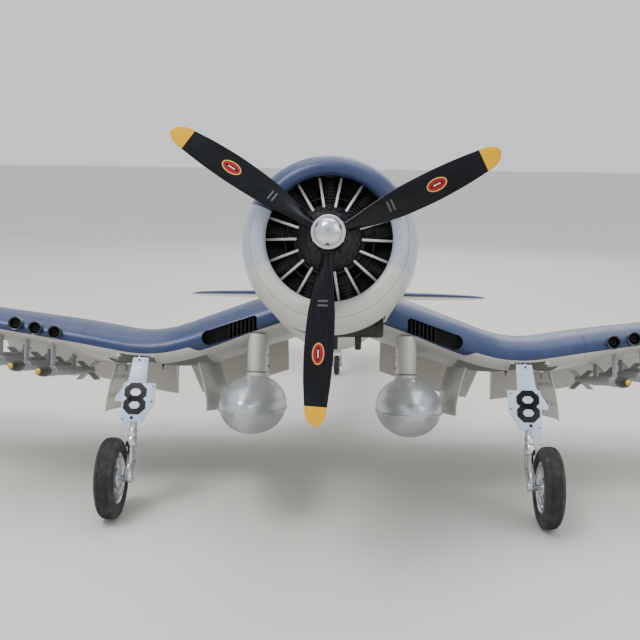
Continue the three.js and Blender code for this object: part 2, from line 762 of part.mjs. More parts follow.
// The nose of each section leads the turn and points forward.
function bladeRing([radius, chord, thick]) {
  const pitch = Math.atan2(PROP_PITCH, 2 * Math.PI * Math.max(radius, 45));
  const point = (s, side) => {
    const along = (0.42 - s) * chord;
    const off = side * thick * 0.5 * Math.max(section(s) * 0.95, 0.16);
    const tangent = along * Math.cos(pitch) + off * Math.sin(pitch);
    const forward = along * Math.sin(pitch) - off * Math.cos(pitch);
    return at(radius, -forward, tangent);
  };
  const face = BLADE_STEPS.map((s) => point(s, -1));
  return face.concat(BLADE_STEPS.map((s) => point(s, 1)).reverse());
}

function propeller() {
  const blade = loft(BLADE.map(bladeRing));
  const hubProfile = [[6.4, -15.8], [20, -15.8], [23, -13], [23, 13], [20, 15.8], [6.4, 15.8]];
  const hub = solid(turned([...hubProfile, hubProfile[0]], 24));
  const blades = [0, 1, 2].map((k) => {
    const turn = PROP_PHASE + (k * 2 * Math.PI) / 3;
    return solid(blade.clone().rotateY(-turn));
  });
  const bore = solid(bar(at(0, -30, 0), at(0, 30, 0), 6.4, 6.4, 24));
  return less(joined(hub, ...blades), bore);
}

function firewall() {
  const rows = [BODY[0], BODY[0]].map((row, k) => [238 + k * 5, ...row.slice(1)]);
  return bodySolid(WALL + GAP, rows, HOLLOW_SIDES);
}

function petrolEngine() {
  const crankProfile = [[0, 128], [7.2, 128], [7.2, 108], [16, 108], [20, 116], [30, 124], [30, 172], [0, 172]];
  const crankcase = solid(turned(crankProfile, 16));
  const pieces = [solid(box(-34, 34, 170, 184, -30, 30)), solid(box(-18, 18, 176, 206, 12, 46))];
  [[-27, -23], [27, -23], [-27, 23], [27, 23]].forEach(([x, z]) => {
    pieces.push(solid(bar(at(x, 182, z), at(x, 237.6, z), 5, 5, 12)));
  });
  pieces.push(solid(bar(at(0, 146, -20), at(0, 146, -98), 21, 21, 12)));
  for (let i = 0; i < 3; i += 1) {
    const z = -50 - i * 18;
    pieces.push(solid(box(-27, 27, 120, 172, z - 1.2, z + 1.2)));
  }
  return joined(crankcase, ...pieces);
}

function muffler() {
  const can = solid(bar(at(-32, 198, -112), at(82, 198, -112), 17, 17, 16));
  const stubs = [8, 44].map((x) => solid(bar(at(x, 198, -116), at(x, 206, -147), 5.2, 5.2, 10)));
  return joined(can, ...stubs);
}

function roundedBlock(x0, x1, y0, y1, z0, z1, radius) {
  const plan = new THREE.Shape();
  const [w, h] = [(x1 - x0) / 2 - radius, (z1 - z0) / 2 - radius];
  plan.absarc(w, h, radius, 0, Math.PI / 2);
  plan.absarc(-w, h, radius, Math.PI / 2, Math.PI);
  plan.absarc(-w, -h, radius, Math.PI, Math.PI * 1.5);
  plan.absarc(w, -h, radius, Math.PI * 1.5, Math.PI * 2);
  const geometry = new THREE.ExtrudeGeometry(plan, { depth: y1 - y0, bevelEnabled: false, curveSegments: 5 });
  return geometry.rotateX(Math.PI / 2).translate((x0 + x1) / 2, y1, (z0 + z1) / 2);
}

function fuelTank() {
  return solid(roundedBlock(-48, 48, 262, 432, -50, 26, 14));
}

function flightBattery() {
  return solid(roundedBlock(-26, 26, 560, 700, 24, 60, 4));
}

// ---------------------------------------------------------------- main landing gear
const UP = at(0, -Math.sin(NOSE_UP), Math.cos(NOSE_UP));
const AXLE = CONTACT.clone().addScaledVector(UP, WHEEL_RADIUS);
const LEG_LENGTH = Math.hypot(AXLE.y - TRUNNION.y, AXLE.z - TRUNNION.z);
const LEG_RAKE = Math.atan2(TRUNNION.y - AXLE.y, TRUNNION.z - AXLE.z);
const STRUT_END = -162;
const PISTON_RADIUS = 5.4;

// The leg is drawn upright, with the trunnion at zero and the leg hanging down.
function placeLeg(mesh) {
  mesh.position.copy(TRUNNION);
  mesh.rotation.x = -LEG_RAKE;
}

function strut() {
  const tube = solid(bar(at(0, 0, 4), at(0, 0, STRUT_END), 6.4, 6.4, 12));
  const knuckle = solid(bar(at(-10, 0, 0), at(10, 0, 0), 8, 8, 12));
  const along = retractAxis();
  const pinFrom = along.clone().multiplyScalar(-30).applyAxisAngle(at(1, 0, 0), LEG_RAKE);
  const pinTo = along.clone().multiplyScalar(30).applyAxisAngle(at(1, 0, 0), LEG_RAKE);
  const pin = solid(bar(pinFrom, pinTo, 4, 4, 12));
  const gland = solid(bar(at(0, 0, STRUT_END + 14), at(0, 0, STRUT_END), 8, 8, 12));
  const clamps = [-34, -84, -128].map((z) => solid(box(-5, 5, -8.2, 0, z - 4, z + 4)));
  const bore = solid(bar(at(0, 0, STRUT_END - 1), at(0, 0, -104), PISTON_RADIUS + 0.4, PISTON_RADIUS + 0.4, 12));
  return less(joined(tube, knuckle, pin, gland, ...clamps), bore);
}

function twistCollar() {
  const ring = solid(bar(at(0, 0, STRUT_END - 0.6), at(0, 0, STRUT_END - 17), 9.6, 9.6, 16));
  const ear = solid(box(-4, 4, 6, 17, STRUT_END - 15, STRUT_END - 4));
  const bore = solid(bar(at(0, 0, -100), at(0, 0, -200), PISTON_RADIUS + 0.4, PISTON_RADIUS + 0.4, 12));
  return less(joined(ring, ear), bore);
}

function piston() {
  const rod = solid(bar(at(0, 0, -118), at(0, 0, -LEG_LENGTH - 5), PISTON_RADIUS, PISTON_RADIUS, 14));
  const offset = WHEEL_X - TRUNNION.x;
  const axle = solid(bar(at(-6, 0, -LEG_LENGTH), at(offset + 12, 0, -LEG_LENGTH), 4, 4, 12));
  const shoulder = solid(bar(at(-8, 0, -LEG_LENGTH), at(8, 0, -LEG_LENGTH), 7.2, 7.2, 14));
  const ear = solid(box(-4, 4, 3, 13, -LEG_LENGTH + 10, -LEG_LENGTH + 20));
  return joined(rod, axle, shoulder, ear);
}

// Two overlapping plates on the front of the leg: the narrow upper one and the wide numbered one.
function strutDoor() {
  const upper = new THREE.Shape([
    [-18, -17], [10, -17], [15, -60], [35, -92], [35, -100], [-18, -100],
  ].map(([x, z]) => new THREE.Vector2(x, z)));
  const lower = new THREE.Shape([
    [-36, -66], [22, -66], [22, -140], [19, -150], [8, -150], [8, -138], [-18, -138], [-36, -104],
  ].map(([x, z]) => new THREE.Vector2(x, z)));
  const upperPlate = solid(frontRegion(upper, -10.2, -8.5));
  const lowerPlate = solid(frontRegion(lower, -12.2, -10));
  return joined(upperPlate, lowerPlate);
}

// A wheel turned about its own axle; one flat side of the tread faces the ground.
function wheelPart(profile, sides) {
  const half = Math.PI / sides;
  const points = profile.map(([r, x]) => new THREE.Vector2(r / Math.cos(half), x));
  const geometry = new THREE.LatheGeometry(points, sides, half);
  return geometry.rotateZ(-Math.PI / 2).rotateX(NOSE_UP);
}

function tyreProfile(radius, halfWidth, rim) {
  const shoulder = radius - 3;
  const profile = [
    [rim, -halfWidth + 6],
    [rim + 8, -halfWidth],
    [shoulder - 3, -halfWidth + 2],
    [radius, -halfWidth + 9],
  ];
  const other = profile.map(([r, x]) => [r, -x]).reverse();
  return [...profile, ...other, profile[0]];
}

function mainTyre() {
  return wheelPart(tyreProfile(WHEEL_RADIUS, WHEEL_WIDTH / 2, 43), WHEEL_SIDES);
}

function wheelHub() {
  const rim = 42;
  const bore = 4.4;
  const profile = [
    [bore, -12], [13, -12], [16, -6], [34, -5], [rim, -11.4], [rim, 11.4], [34, 4], [16, 5], [13, 12],
    [bore, 12], [bore, -12],
  ];
  return wheelPart(profile, 20);
}

function atWheel(mesh) {
  mesh.position.copy(AXLE);
}

// ---------------------------------------------------------------- tail wheel
const TAIL_AXLE = TAIL_CONTACT.clone().addScaledVector(UP, TAIL_WHEEL_RADIUS);
const TAIL_POST_Y = 1502;

function tailWheel() {
  const radius = TAIL_WHEEL_RADIUS;
  const profile = [
    [2.9, -6], [18, -8], [radius - 4, -8.5], [radius, -4], [radius, 4], [radius - 4, 8.5], [18, 8], [2.9, 6],
    [2.9, -6],
  ];
  return wheelPart(profile, 24);
}

function tailLeg() {
  const post = solid(bar(at(0, TAIL_POST_Y, -38), at(0, TAIL_POST_Y, -128), 6, 6, 16));
  const bridge = solid(box(-15, 15, TAIL_POST_Y - 8, TAIL_POST_Y + 8, -137, -126));
  const arms = [-12.5, 12.5].map((x) => {
    const from = at(x, TAIL_POST_Y, -131);
    const to = at(x, TAIL_AXLE.y, TAIL_AXLE.z);
    const eye = solid(bar(at(x - 2, to.y, to.z), at(x + 2, to.y, to.z), 5, 5, 14));
    return joined(solid(bar(from, to, 2.6, 2.6, 10)), eye);
  });
  const axle = solid(bar(at(-13, TAIL_AXLE.y, TAIL_AXLE.z), at(13, TAIL_AXLE.y, TAIL_AXLE.z), 2.4, 2.4, 12));
  return joined(post, bridge, ...arms, axle);
}

// ---------------------------------------------------------------- stores under the wing
function tankSolid(grow = 0) {
  const { nose, tail, halfWidth, halfHeight } = TANK;
  const length = tail - nose;
  const profile = [];
  const steps = 12;
  for (let i = 0; i <= steps; i += 1) {
    const s = i / steps;
    const fat = Math.sin(Math.PI * s ** 0.72) ** 0.62;
    profile.push([i === 0 || i === steps ? 0 : fat + grow / halfHeight, nose + s * length + grow * (2 * s - 1)]);
  }
  const body = turned(profile, 20).scale(halfWidth, 1, halfHeight);
  return solid(body.translate(TANK.x, 0, TANK.z));
}

function pylonSolid() {
  const plan = new THREE.Shape();
  const [x, half] = [137, 19];
  plan.moveTo(x, 452);
  plan.bezierCurveTo(x + half * 0.9, 456, x + half, 486, x + half, 510);
  plan.bezierCurveTo(x + half, 560, x + half * 0.5, 610, x, 630);
  plan.bezierCurveTo(x - half * 0.5, 610, x - half, 560, x - half, 510);
  plan.bezierCurveTo(x - half, 486, x - half * 0.9, 456, x, 452);
  const geometry = new THREE.ExtrudeGeometry(plan, { depth: 130, bevelEnabled: false, curveSegments: 6 });
  const column = solid(geometry.translate(0, 0, -240));
  const wing = [0, 60].map((rise) => centreSolid(GAP).translate([0, 0, rise]));
  const tank = [0, -40].map((fall) => tankSolid(GAP).translate([0, 0, fall]));
  return less(column, ...wing, ...tank);
}

function rocketSolid(x, z, wing) {
  const body = [
    [0, 384], [8.2, 406], [10, 424], [10, 720], [7, 742], [0, 742],
  ];
  const pieces = [solid(turned(body, 8).translate(x, 0, z))];
  for (let k = 0; k < 4; k += 1) {
    const fin = box(-0.9, 0.9, 684, 740, 6, 27).rotateY(Math.PI / 4 + (k * Math.PI) / 2);
    pieces.push(solid(fin.translate(x, 0, z)));
  }
  [474, 606].forEach((y) => {
    const roof = wingAt(x, y).middle;
    pieces.push(less(solid(box(x - 3, x + 3, y - 11, y + 11, z + 6, roof)), wing));
  });
  return joined(...pieces);
}

function rocketPlace(k) {
  const x = 511 + ROCKET_PITCH * k;
  return { x, z: wingAt(x, 520).bottom - 38 };
}

// ---------------------------------------------------------------- the whole aircraft
add('fuselage', shape(fuselage()), SIDE_GREY);
add('cowling', shape(cowling()), NAVY_BLUE);
add('cowl_flap_ring', shape(cowlFlapRing()), NAVY_BLUE);
add('dummy_radial', shape(dummyRadial()), BLACK_METAL);
add('firewall', shape(firewall()), PLYWOOD);
add('petrol_engine', shape(petrolEngine()), SILVER_PAINT);
add('muffler', shape(muffler()), BLACK_METAL);
add('fuel_tank', shape(fuelTank()), TANK_WHITE);
add('flight_battery', shape(flightBattery()), PACK_BLUE);
add('cockpit_tub', shape(cockpitTub()), COCKPIT_GREEN);
add('windscreen', shape(windscreen()), CLEAR);
add('canopy_hood', shape(canopyHood()), CLEAR);
add('wing_centre_section', shape(wingCentre()), NAVY_BLUE);
addPair('wing_panel', shape(wingPanel()), NAVY_BLUE);
addSurfaces(CENTRE_SURFACES, centreSolid());
addSurfaces(PANEL_SURFACES, panelSolid());
addPair('stabilizer', shape(stabilizer()), NAVY_BLUE);
addPair('elevator', shape(elevator()), NAVY_BLUE);
add('rudder', shape(rudder()), NAVY_BLUE);
add('propeller', shape(propeller()), BLADE_BLACK);
add('spinner', shape(spinner()), BRIGHT_METAL);
addPair('strut', shape(strut()), BRIGHT_METAL, placeLeg);
addPair('strut_door', shape(strutDoor()), DOOR_BLUE, placeLeg);
addPair('twist_collar', shape(twistCollar()), BRIGHT_METAL, placeLeg);
addPair('piston', shape(piston()), BRIGHT_METAL, placeLeg);
addPair('main_tyre', clean(mainTyre()), RUBBER, atWheel);
addPair('wheel_hub', clean(wheelHub()), BRIGHT_METAL, atWheel);
DOORS.forEach((door) => {
  const angle = THREE.MathUtils.degToRad(-door.angle);
  addPair(door.name, shape(wheelDoor(door)), PALE_GREY, (mesh) => swing(mesh, doorHinge(door), at(0, 1, 0), angle));
});
add('tail_leg', shape(tailLeg()), BRIGHT_METAL);
add('tail_wheel', clean(tailWheel()), RUBBER).position.copy(TAIL_AXLE);
addPair('drop_tank', shape(tankSolid()), SILVER_PAINT);
addPair('tank_pylon', shape(pylonSolid()), PALE_GREY);
const wingClearance = panelSolid(GAP);
for (let k = 0; k < ROCKET_COUNT; k += 1) {
  const { x, z } = rocketPlace(k);
  addPair(`rocket_${k + 1}`, shape(rocketSolid(x, z, wingClearance)), OLIVE);
}

// Stand the aircraft on its wheels with the origin under the middle of its box.
aircraft.rotation.x = -NOSE_UP;
aircraft.updateMatrixWorld(true);
const bounds = new THREE.Box3().setFromObject(aircraft, true);
const middle = bounds.getCenter(new THREE.Vector3());
aircraft.position.set(-middle.x, -middle.y, -bounds.min.z);

export default aircraft;
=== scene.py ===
"""A giant-scale radio-controlled naval fighter with an inverted gull wing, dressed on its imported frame.

Pieces are drawn in the aircraft's own frame, in millimetres: the origin is the centre of the propeller
disc, +X points to port, +Y aft along the thrust line and +Z up. Workshop.deliver turns a finished piece
into the frame's metres, dresses it and hands it to its body.
"""
from __future__ import annotations

import json
import logging
import math
from contextlib import contextmanager
from dataclasses import dataclass, field
from enum import Enum
from typing import Callable, Iterator, Sequence

import bpy
from mathutils import Matrix, Vector

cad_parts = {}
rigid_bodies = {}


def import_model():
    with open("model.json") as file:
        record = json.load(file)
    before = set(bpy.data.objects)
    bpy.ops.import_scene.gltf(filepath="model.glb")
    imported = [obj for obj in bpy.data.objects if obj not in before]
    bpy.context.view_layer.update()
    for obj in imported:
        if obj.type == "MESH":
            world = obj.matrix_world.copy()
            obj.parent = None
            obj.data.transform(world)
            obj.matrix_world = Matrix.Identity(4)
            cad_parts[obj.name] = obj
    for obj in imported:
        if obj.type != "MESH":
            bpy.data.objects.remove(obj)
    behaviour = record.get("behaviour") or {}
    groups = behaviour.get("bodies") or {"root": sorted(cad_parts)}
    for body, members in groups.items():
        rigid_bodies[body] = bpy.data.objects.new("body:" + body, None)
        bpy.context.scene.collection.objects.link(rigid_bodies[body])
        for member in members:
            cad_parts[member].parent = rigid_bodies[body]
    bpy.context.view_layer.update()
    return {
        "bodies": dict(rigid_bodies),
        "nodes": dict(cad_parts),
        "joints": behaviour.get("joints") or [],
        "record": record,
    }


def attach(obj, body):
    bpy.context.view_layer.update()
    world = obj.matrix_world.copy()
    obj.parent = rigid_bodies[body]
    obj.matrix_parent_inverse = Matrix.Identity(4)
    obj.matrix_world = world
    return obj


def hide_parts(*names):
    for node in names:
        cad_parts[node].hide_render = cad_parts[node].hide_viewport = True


LOG = logging.getLogger("warbird")
Point = tuple[float, float, float]
Colour = tuple[float, float, float, float]
Ring = list[Vector]
Marked = list[tuple[Vector, float]]
Profile = Sequence[tuple[float, float]]
Piece = bpy.types.Object
Socket = bpy.types.NodeSocket
Material = bpy.types.Material

THRUST = Vector((0.0, 1.0, 0.0))
MERGE = 0.005
PAINT_EDGE = 0.0003
METRES = 0.001


# ---------------------------------------------------------------- modelling by hand
def alone(piece: Piece) -> None:
    """Leaves only this piece selected and active."""
    bpy.ops.object.select_all(action="DESELECT")
    piece.select_set(True)
    bpy.context.view_layer.objects.active = piece


@contextmanager
def editing(piece: Piece, mode: str = "FACE") -> Iterator[None]:
    """Opens the piece in edit mode, with everything selected, and closes it again.

    Args:
        piece: The piece to edit.
        mode: What is selected: VERT, EDGE or FACE.
    """
    alone(piece)
    bpy.ops.object.mode_set(mode="EDIT")
    bpy.ops.mesh.select_mode(type=mode)
    bpy.ops.mesh.select_all(action="SELECT")
    yield
    bpy.ops.object.mode_set(mode="OBJECT")


def fresh(make: Callable[..., object], **settings: object) -> Piece:
    """Adds one of Blender's own shapes with nothing else selected, and returns it."""
    bpy.ops.object.select_all(action="DESELECT")
    make(**settings)
    return bpy.context.active_object


def close_up(fill: bool = True) -> None:
    """In edit mode, merges the points that meet, closes the openings and turns the faces out."""
    bpy.ops.mesh.remove_doubles(threshold=MERGE)
    if fill:
        bpy.ops.mesh.fill_holes(sides=0)
    bpy.ops.mesh.select_all(action="SELECT")
    bpy.ops.mesh.normals_make_consistent(inside=False)


def second_paint(piece: Piece, wanted: Callable[[Vector, Vector], int]) -> None:
    """Gives faces another paint than the first.

    Args:
        piece: The piece, in object mode.
        wanted: Called with a face's centre and normal, gives the number of its paint.
    """
    for face in piece.data.polygons:
        face.material_index = int(wanted(face.center, face.normal))


def apply_modifier(piece: Piece, kind: str, **settings: object) -> None:
    """Adds one modifier and applies it.

    Args:
        piece: The piece to change.
        kind: The modifier's type.
        settings: The modifier's properties.
    """
    modifier = piece.modifiers.new("work", kind)
    for key, value in settings.items():
        setattr(modifier, key, value)
    alone(piece)
    bpy.ops.object.modifier_apply(modifier=modifier.name)


def soften(piece: Piece, width: float, segments: int = 2, angle: float = 40.0) -> Piece:
    """Rounds the edges that are sharper than an angle in degrees, and returns the piece."""
    apply_modifier(piece, "BEVEL", width=width, segments=segments, limit_method="ANGLE",
            angle_limit=math.radians(angle), harden_normals=False)
    return piece


def cut(piece: Piece, *tools: Piece) -> Piece:
    """Cuts every tool out of the piece, removes the tools and returns the piece."""
    for tool in tools:
        apply_modifier(piece, "BOOLEAN", operation="DIFFERENCE", object=tool, solver="EXACT")
        bpy.data.objects.remove(tool, do_unlink=True)
    return piece


def placed(piece: Piece) -> Piece:
    """Puts an object's own place and turn into its mesh, and returns it."""
    alone(piece)
    bpy.ops.object.transform_apply(location=True, rotation=True, scale=True)
    return piece


def block(low: Point, high: Point, edge: float = 0.5, segments: int = 2) -> Piece:
    """A rounded block between two corners.

    Args:
        low: The lowest corner.
        high: The highest corner.
        edge: The radius of its edges, or 0 for a sharp cutting tool.
        segments: Steps across each rounded edge.

    Returns:
        The block.
    """
    piece = fresh(bpy.ops.mesh.primitive_cube_add, size=1.0, location=[(a + b) / 2 for a, b in zip(low, high)])
    piece.scale = [b - a for a, b in zip(low, high)]
    placed(piece)
    return soften(piece, edge, segments) if edge else piece


def rod(start: Point, end: Point, radius: float, radius_end: float | None = None, sides: int = 24,
        edge: float = 0.4) -> Piece:
    """A round or tapered rod with rounded ends.

    Args:
        start: The middle of its first end.
        end: The middle of its other end.
        radius: The radius at its first end.
        radius_end: The radius at its other end, the same if not given.
        sides: Faces round it.
        edge: The radius of its two rims, or 0 for none.

    Returns:
        The rod.
    """
    first, last = Vector(start), Vector(end)
    along = last - first
    piece = placed(fresh(bpy.ops.mesh.primitive_cone_add, vertices=sides, radius1=radius, radius2=radius
            if radius_end is None else radius_end, depth=along.length, location=(first + last) / 2,
            rotation=along.to_track_quat("Z", "Y").to_euler()))
    return soften(piece, edge) if edge else piece


def turned(profile: Profile, sides: int = 48, ring: bool = False, centre: Point = (0.0, 0.0, 0.0)) -> Piece:
    """A piece turned about the thrust direction: a circle that is extruded and resized along a profile.

    Args:
        profile: [radius, distance aft] from one end to the other.
        sides: Faces round it.
        ring: True where the profile closes on itself, as on a hoop.
        centre: Where the axis starts.

    Returns:
        The closed piece.
    """
    middle = Vector(centre)
    tiny = 0.05
    rows = [(max(radius, tiny), aft) for radius, aft in profile]
    if ring:
        rows.append(rows[0])
    radius, aft = rows[0]
    piece = placed(fresh(bpy.ops.mesh.primitive_circle_add, vertices=sides, radius=radius,
            rotation=(math.pi / 2, 0, 0), location=middle + THRUST * aft))
    with editing(piece, "EDGE"):
        for next_radius, next_aft in rows[1:]:
            bpy.ops.mesh.extrude_edges_move(TRANSFORM_OT_translate={"value": (0, next_aft - aft, 0)})
            scale = next_radius / radius
            bpy.ops.transform.resize(value=(scale, 1, scale), center_override=middle + THRUST * next_aft)
            radius, aft = next_radius, next_aft
        bpy.ops.mesh.select_all(action="SELECT")
        close_up(fill=not ring)
    return piece


def skin(rings: Sequence[Ring], mark: Callable[[int, int], tuple[float, float]] | None = None) -> Piece:
    """A grid bent over a row of equal sections, closed round and at both ends.

    A circle resized along its way can't give a wing section or an egg-shaped frame, so the grid's points
    are set in code.

    Args:
        rings: The sections, each with the same number of points.
        mark: The UV place of (section, point), where a finish follows the surface.

    Returns:
        The piece.
    """
    across = len(rings[0])
    along = len(rings) - 1
    piece = fresh(bpy.ops.mesh.primitive_grid_add, x_subdivisions=across, y_subdivisions=along, size=2.0)
    mesh = piece.data
    spots = [(round((v.co.y + 1) / 2 * along), round((v.co.x + 1) / 2 * across)) for v in mesh.vertices]
    for vertex, (row, column) in zip(mesh.vertices, spots):
        vertex.co = rings[row][column % across]
    if mark is not None:
        uv = mesh.uv_layers.active.data
        for loop in mesh.loops:
            uv[loop.index].uv = mark(*spots[loop.vertex_index])
    with editing(piece, "VERT"):
        close_up()
    return piece


def plate(outline: Profile, front: float, rear: float, edge: float = 0.3) -> Piece:
    """A flat plate seen from the front: an outline of (x, z) points from front to rear."""
    rings = [[Vector((x, y, z)) for x, z in outline] for y in (front, rear)]
    piece = skin(rings)
    return soften(piece, edge) if edge else piece


def united(*pieces: Piece) -> Piece:
    """Joins pieces into the first one, and returns it."""
    bpy.ops.object.select_all(action="DESELECT")
    for piece in pieces:
        piece.select_set(True)
    bpy.context.view_layer.objects.active = pieces[0]
    if len(pieces) > 1:
        bpy.ops.object.join()
    return pieces[0]


def unmarked(piece: Piece) -> Piece:
    """Clears a piece's map, so that a mapped paint shows its plain part there."""
    for layer in piece.data.uv_layers:
        for spot in layer.data:
            spot.uv = (0.02, 0.0)
    return piece


def copied(piece: Piece, change: Matrix) -> Piece:
    """A copy with its own mesh, moved by a matrix; a mirrored copy has its faces turned out again."""
    twin = piece.copy()
    twin.data = piece.data.copy()
    bpy.context.collection.objects.link(twin)
    twin.data.transform(change)
    if change.determinant() < 0:
        twin.data.flip_normals()
    return twin


def moved(piece: Piece, change: Matrix) -> Piece:
    """Moves a piece's mesh by a matrix, and returns the piece."""
    piece.data.transform(change)
    if change.determinant() < 0:
        piece.data.flip_normals()
    return piece


def rolled(angle: float) -> Matrix:
    """A turn about the thrust line that lifts +X towards +Z, in degrees."""
    return Matrix.Rotation(math.radians(-angle), 4, "Y")


def about(point: Vector, axis: Vector, angle: float) -> Matrix:
    """A turn of an angle in degrees about a line through a point."""
    return Matrix.Translation(point) @ Matrix.Rotation(math.radians(angle), 4, axis) @ Matrix.Translation(-point)


STARBOARD = Matrix.Diagonal((-1, 1, 1, 1))


@dataclass(frozen=True)
class Table:
    """Rows of [key, value, value, ...], read by one smooth curve that doesn't overshoot its rows."""

    rows: tuple[tuple[float, ...], ...]

    def slope(self, k: int, column: int) -> float:
        """The curve's slope at row k."""
        rows = self.rows
        if k in (0, len(rows) - 1):
            return 0.0 if len(rows) > 2 and k == 0 else self.chord(max(k - 1, 0), column)
        before, after = self.chord(k - 1, column), self.chord(k, column)
        return 0.0 if before * after <= 0 else 2 * before * after / (before + after)

    def chord(self, k: int, column: int) -> float:
        """The straight slope from row k to the next."""
        low, high = self.rows[k], self.rows[k + 1]
        return (high[column] - low[column]) / (high[0] - low[0])

    def at(self, key: float) -> list[float]:
        """Every column's value at a key, held at the ends."""
        rows = self.rows
        key = min(max(key, rows[0][0]), rows[-1][0])
        k = max(index for index in range(len(rows) - 1) if rows[index][0] <= key)
        step = rows[k + 1][0] - rows[k][0]
        t = (key - rows[k][0]) / step
        values = [key]
        for column in range(1, len(rows[0])):
            values.append((2 * t ** 3 - 3 * t ** 2 + 1) * rows[k][column]
                    + (t ** 3 - 2 * t ** 2 + t) * step * self.slope(k, column)
                    + (3 * t ** 2 - 2 * t ** 3) * rows[k + 1][column] + (t ** 3 - t ** 2) * step * self.slope(k + 1,
                    column))
        return values


def spaced(low: float, high: float, count: int) -> list[float]:
    """Equally spaced values, both ends included."""
    return [low + (high - low) * k / (count - 1) for k in range(count)]


def swept(points: Profile, steps: int = 6) -> list[tuple[float, float]]:
    """A smooth curve through a profile's points, with a few steps between each pair."""
    result = []
    for k in range(len(points) - 1):
        p0, p1 = points[max(k - 1, 0)], points[k]
        p2, p3 = points[k + 1], points[min(k + 2, len(points) - 1)]
        for j in range(steps):
            t = j / steps
            result.append(tuple(0.5 * (2 * b + (c - a) * t + (2 * a - 5 * b + 4 * c - d) * t * t
                    + (3 * b - a - 3 * c + d) * t ** 3) for a, b, c, d in zip(p0, p1, p2, p3)))
    return [*result, tuple(points[-1])]


# ---------------------------------------------------------------- finishes
def shade(code: str) -> Colour:
    """The linear colour of a six-figure paint code."""
    parts = [int(code[k:k + 2], 16) / 255 for k in (0, 2, 4)]
    return (*(v / 12.92 if v <= 0.04045 else ((v + 0.055) / 1.055) ** 2.4 for v in parts), 1.0)


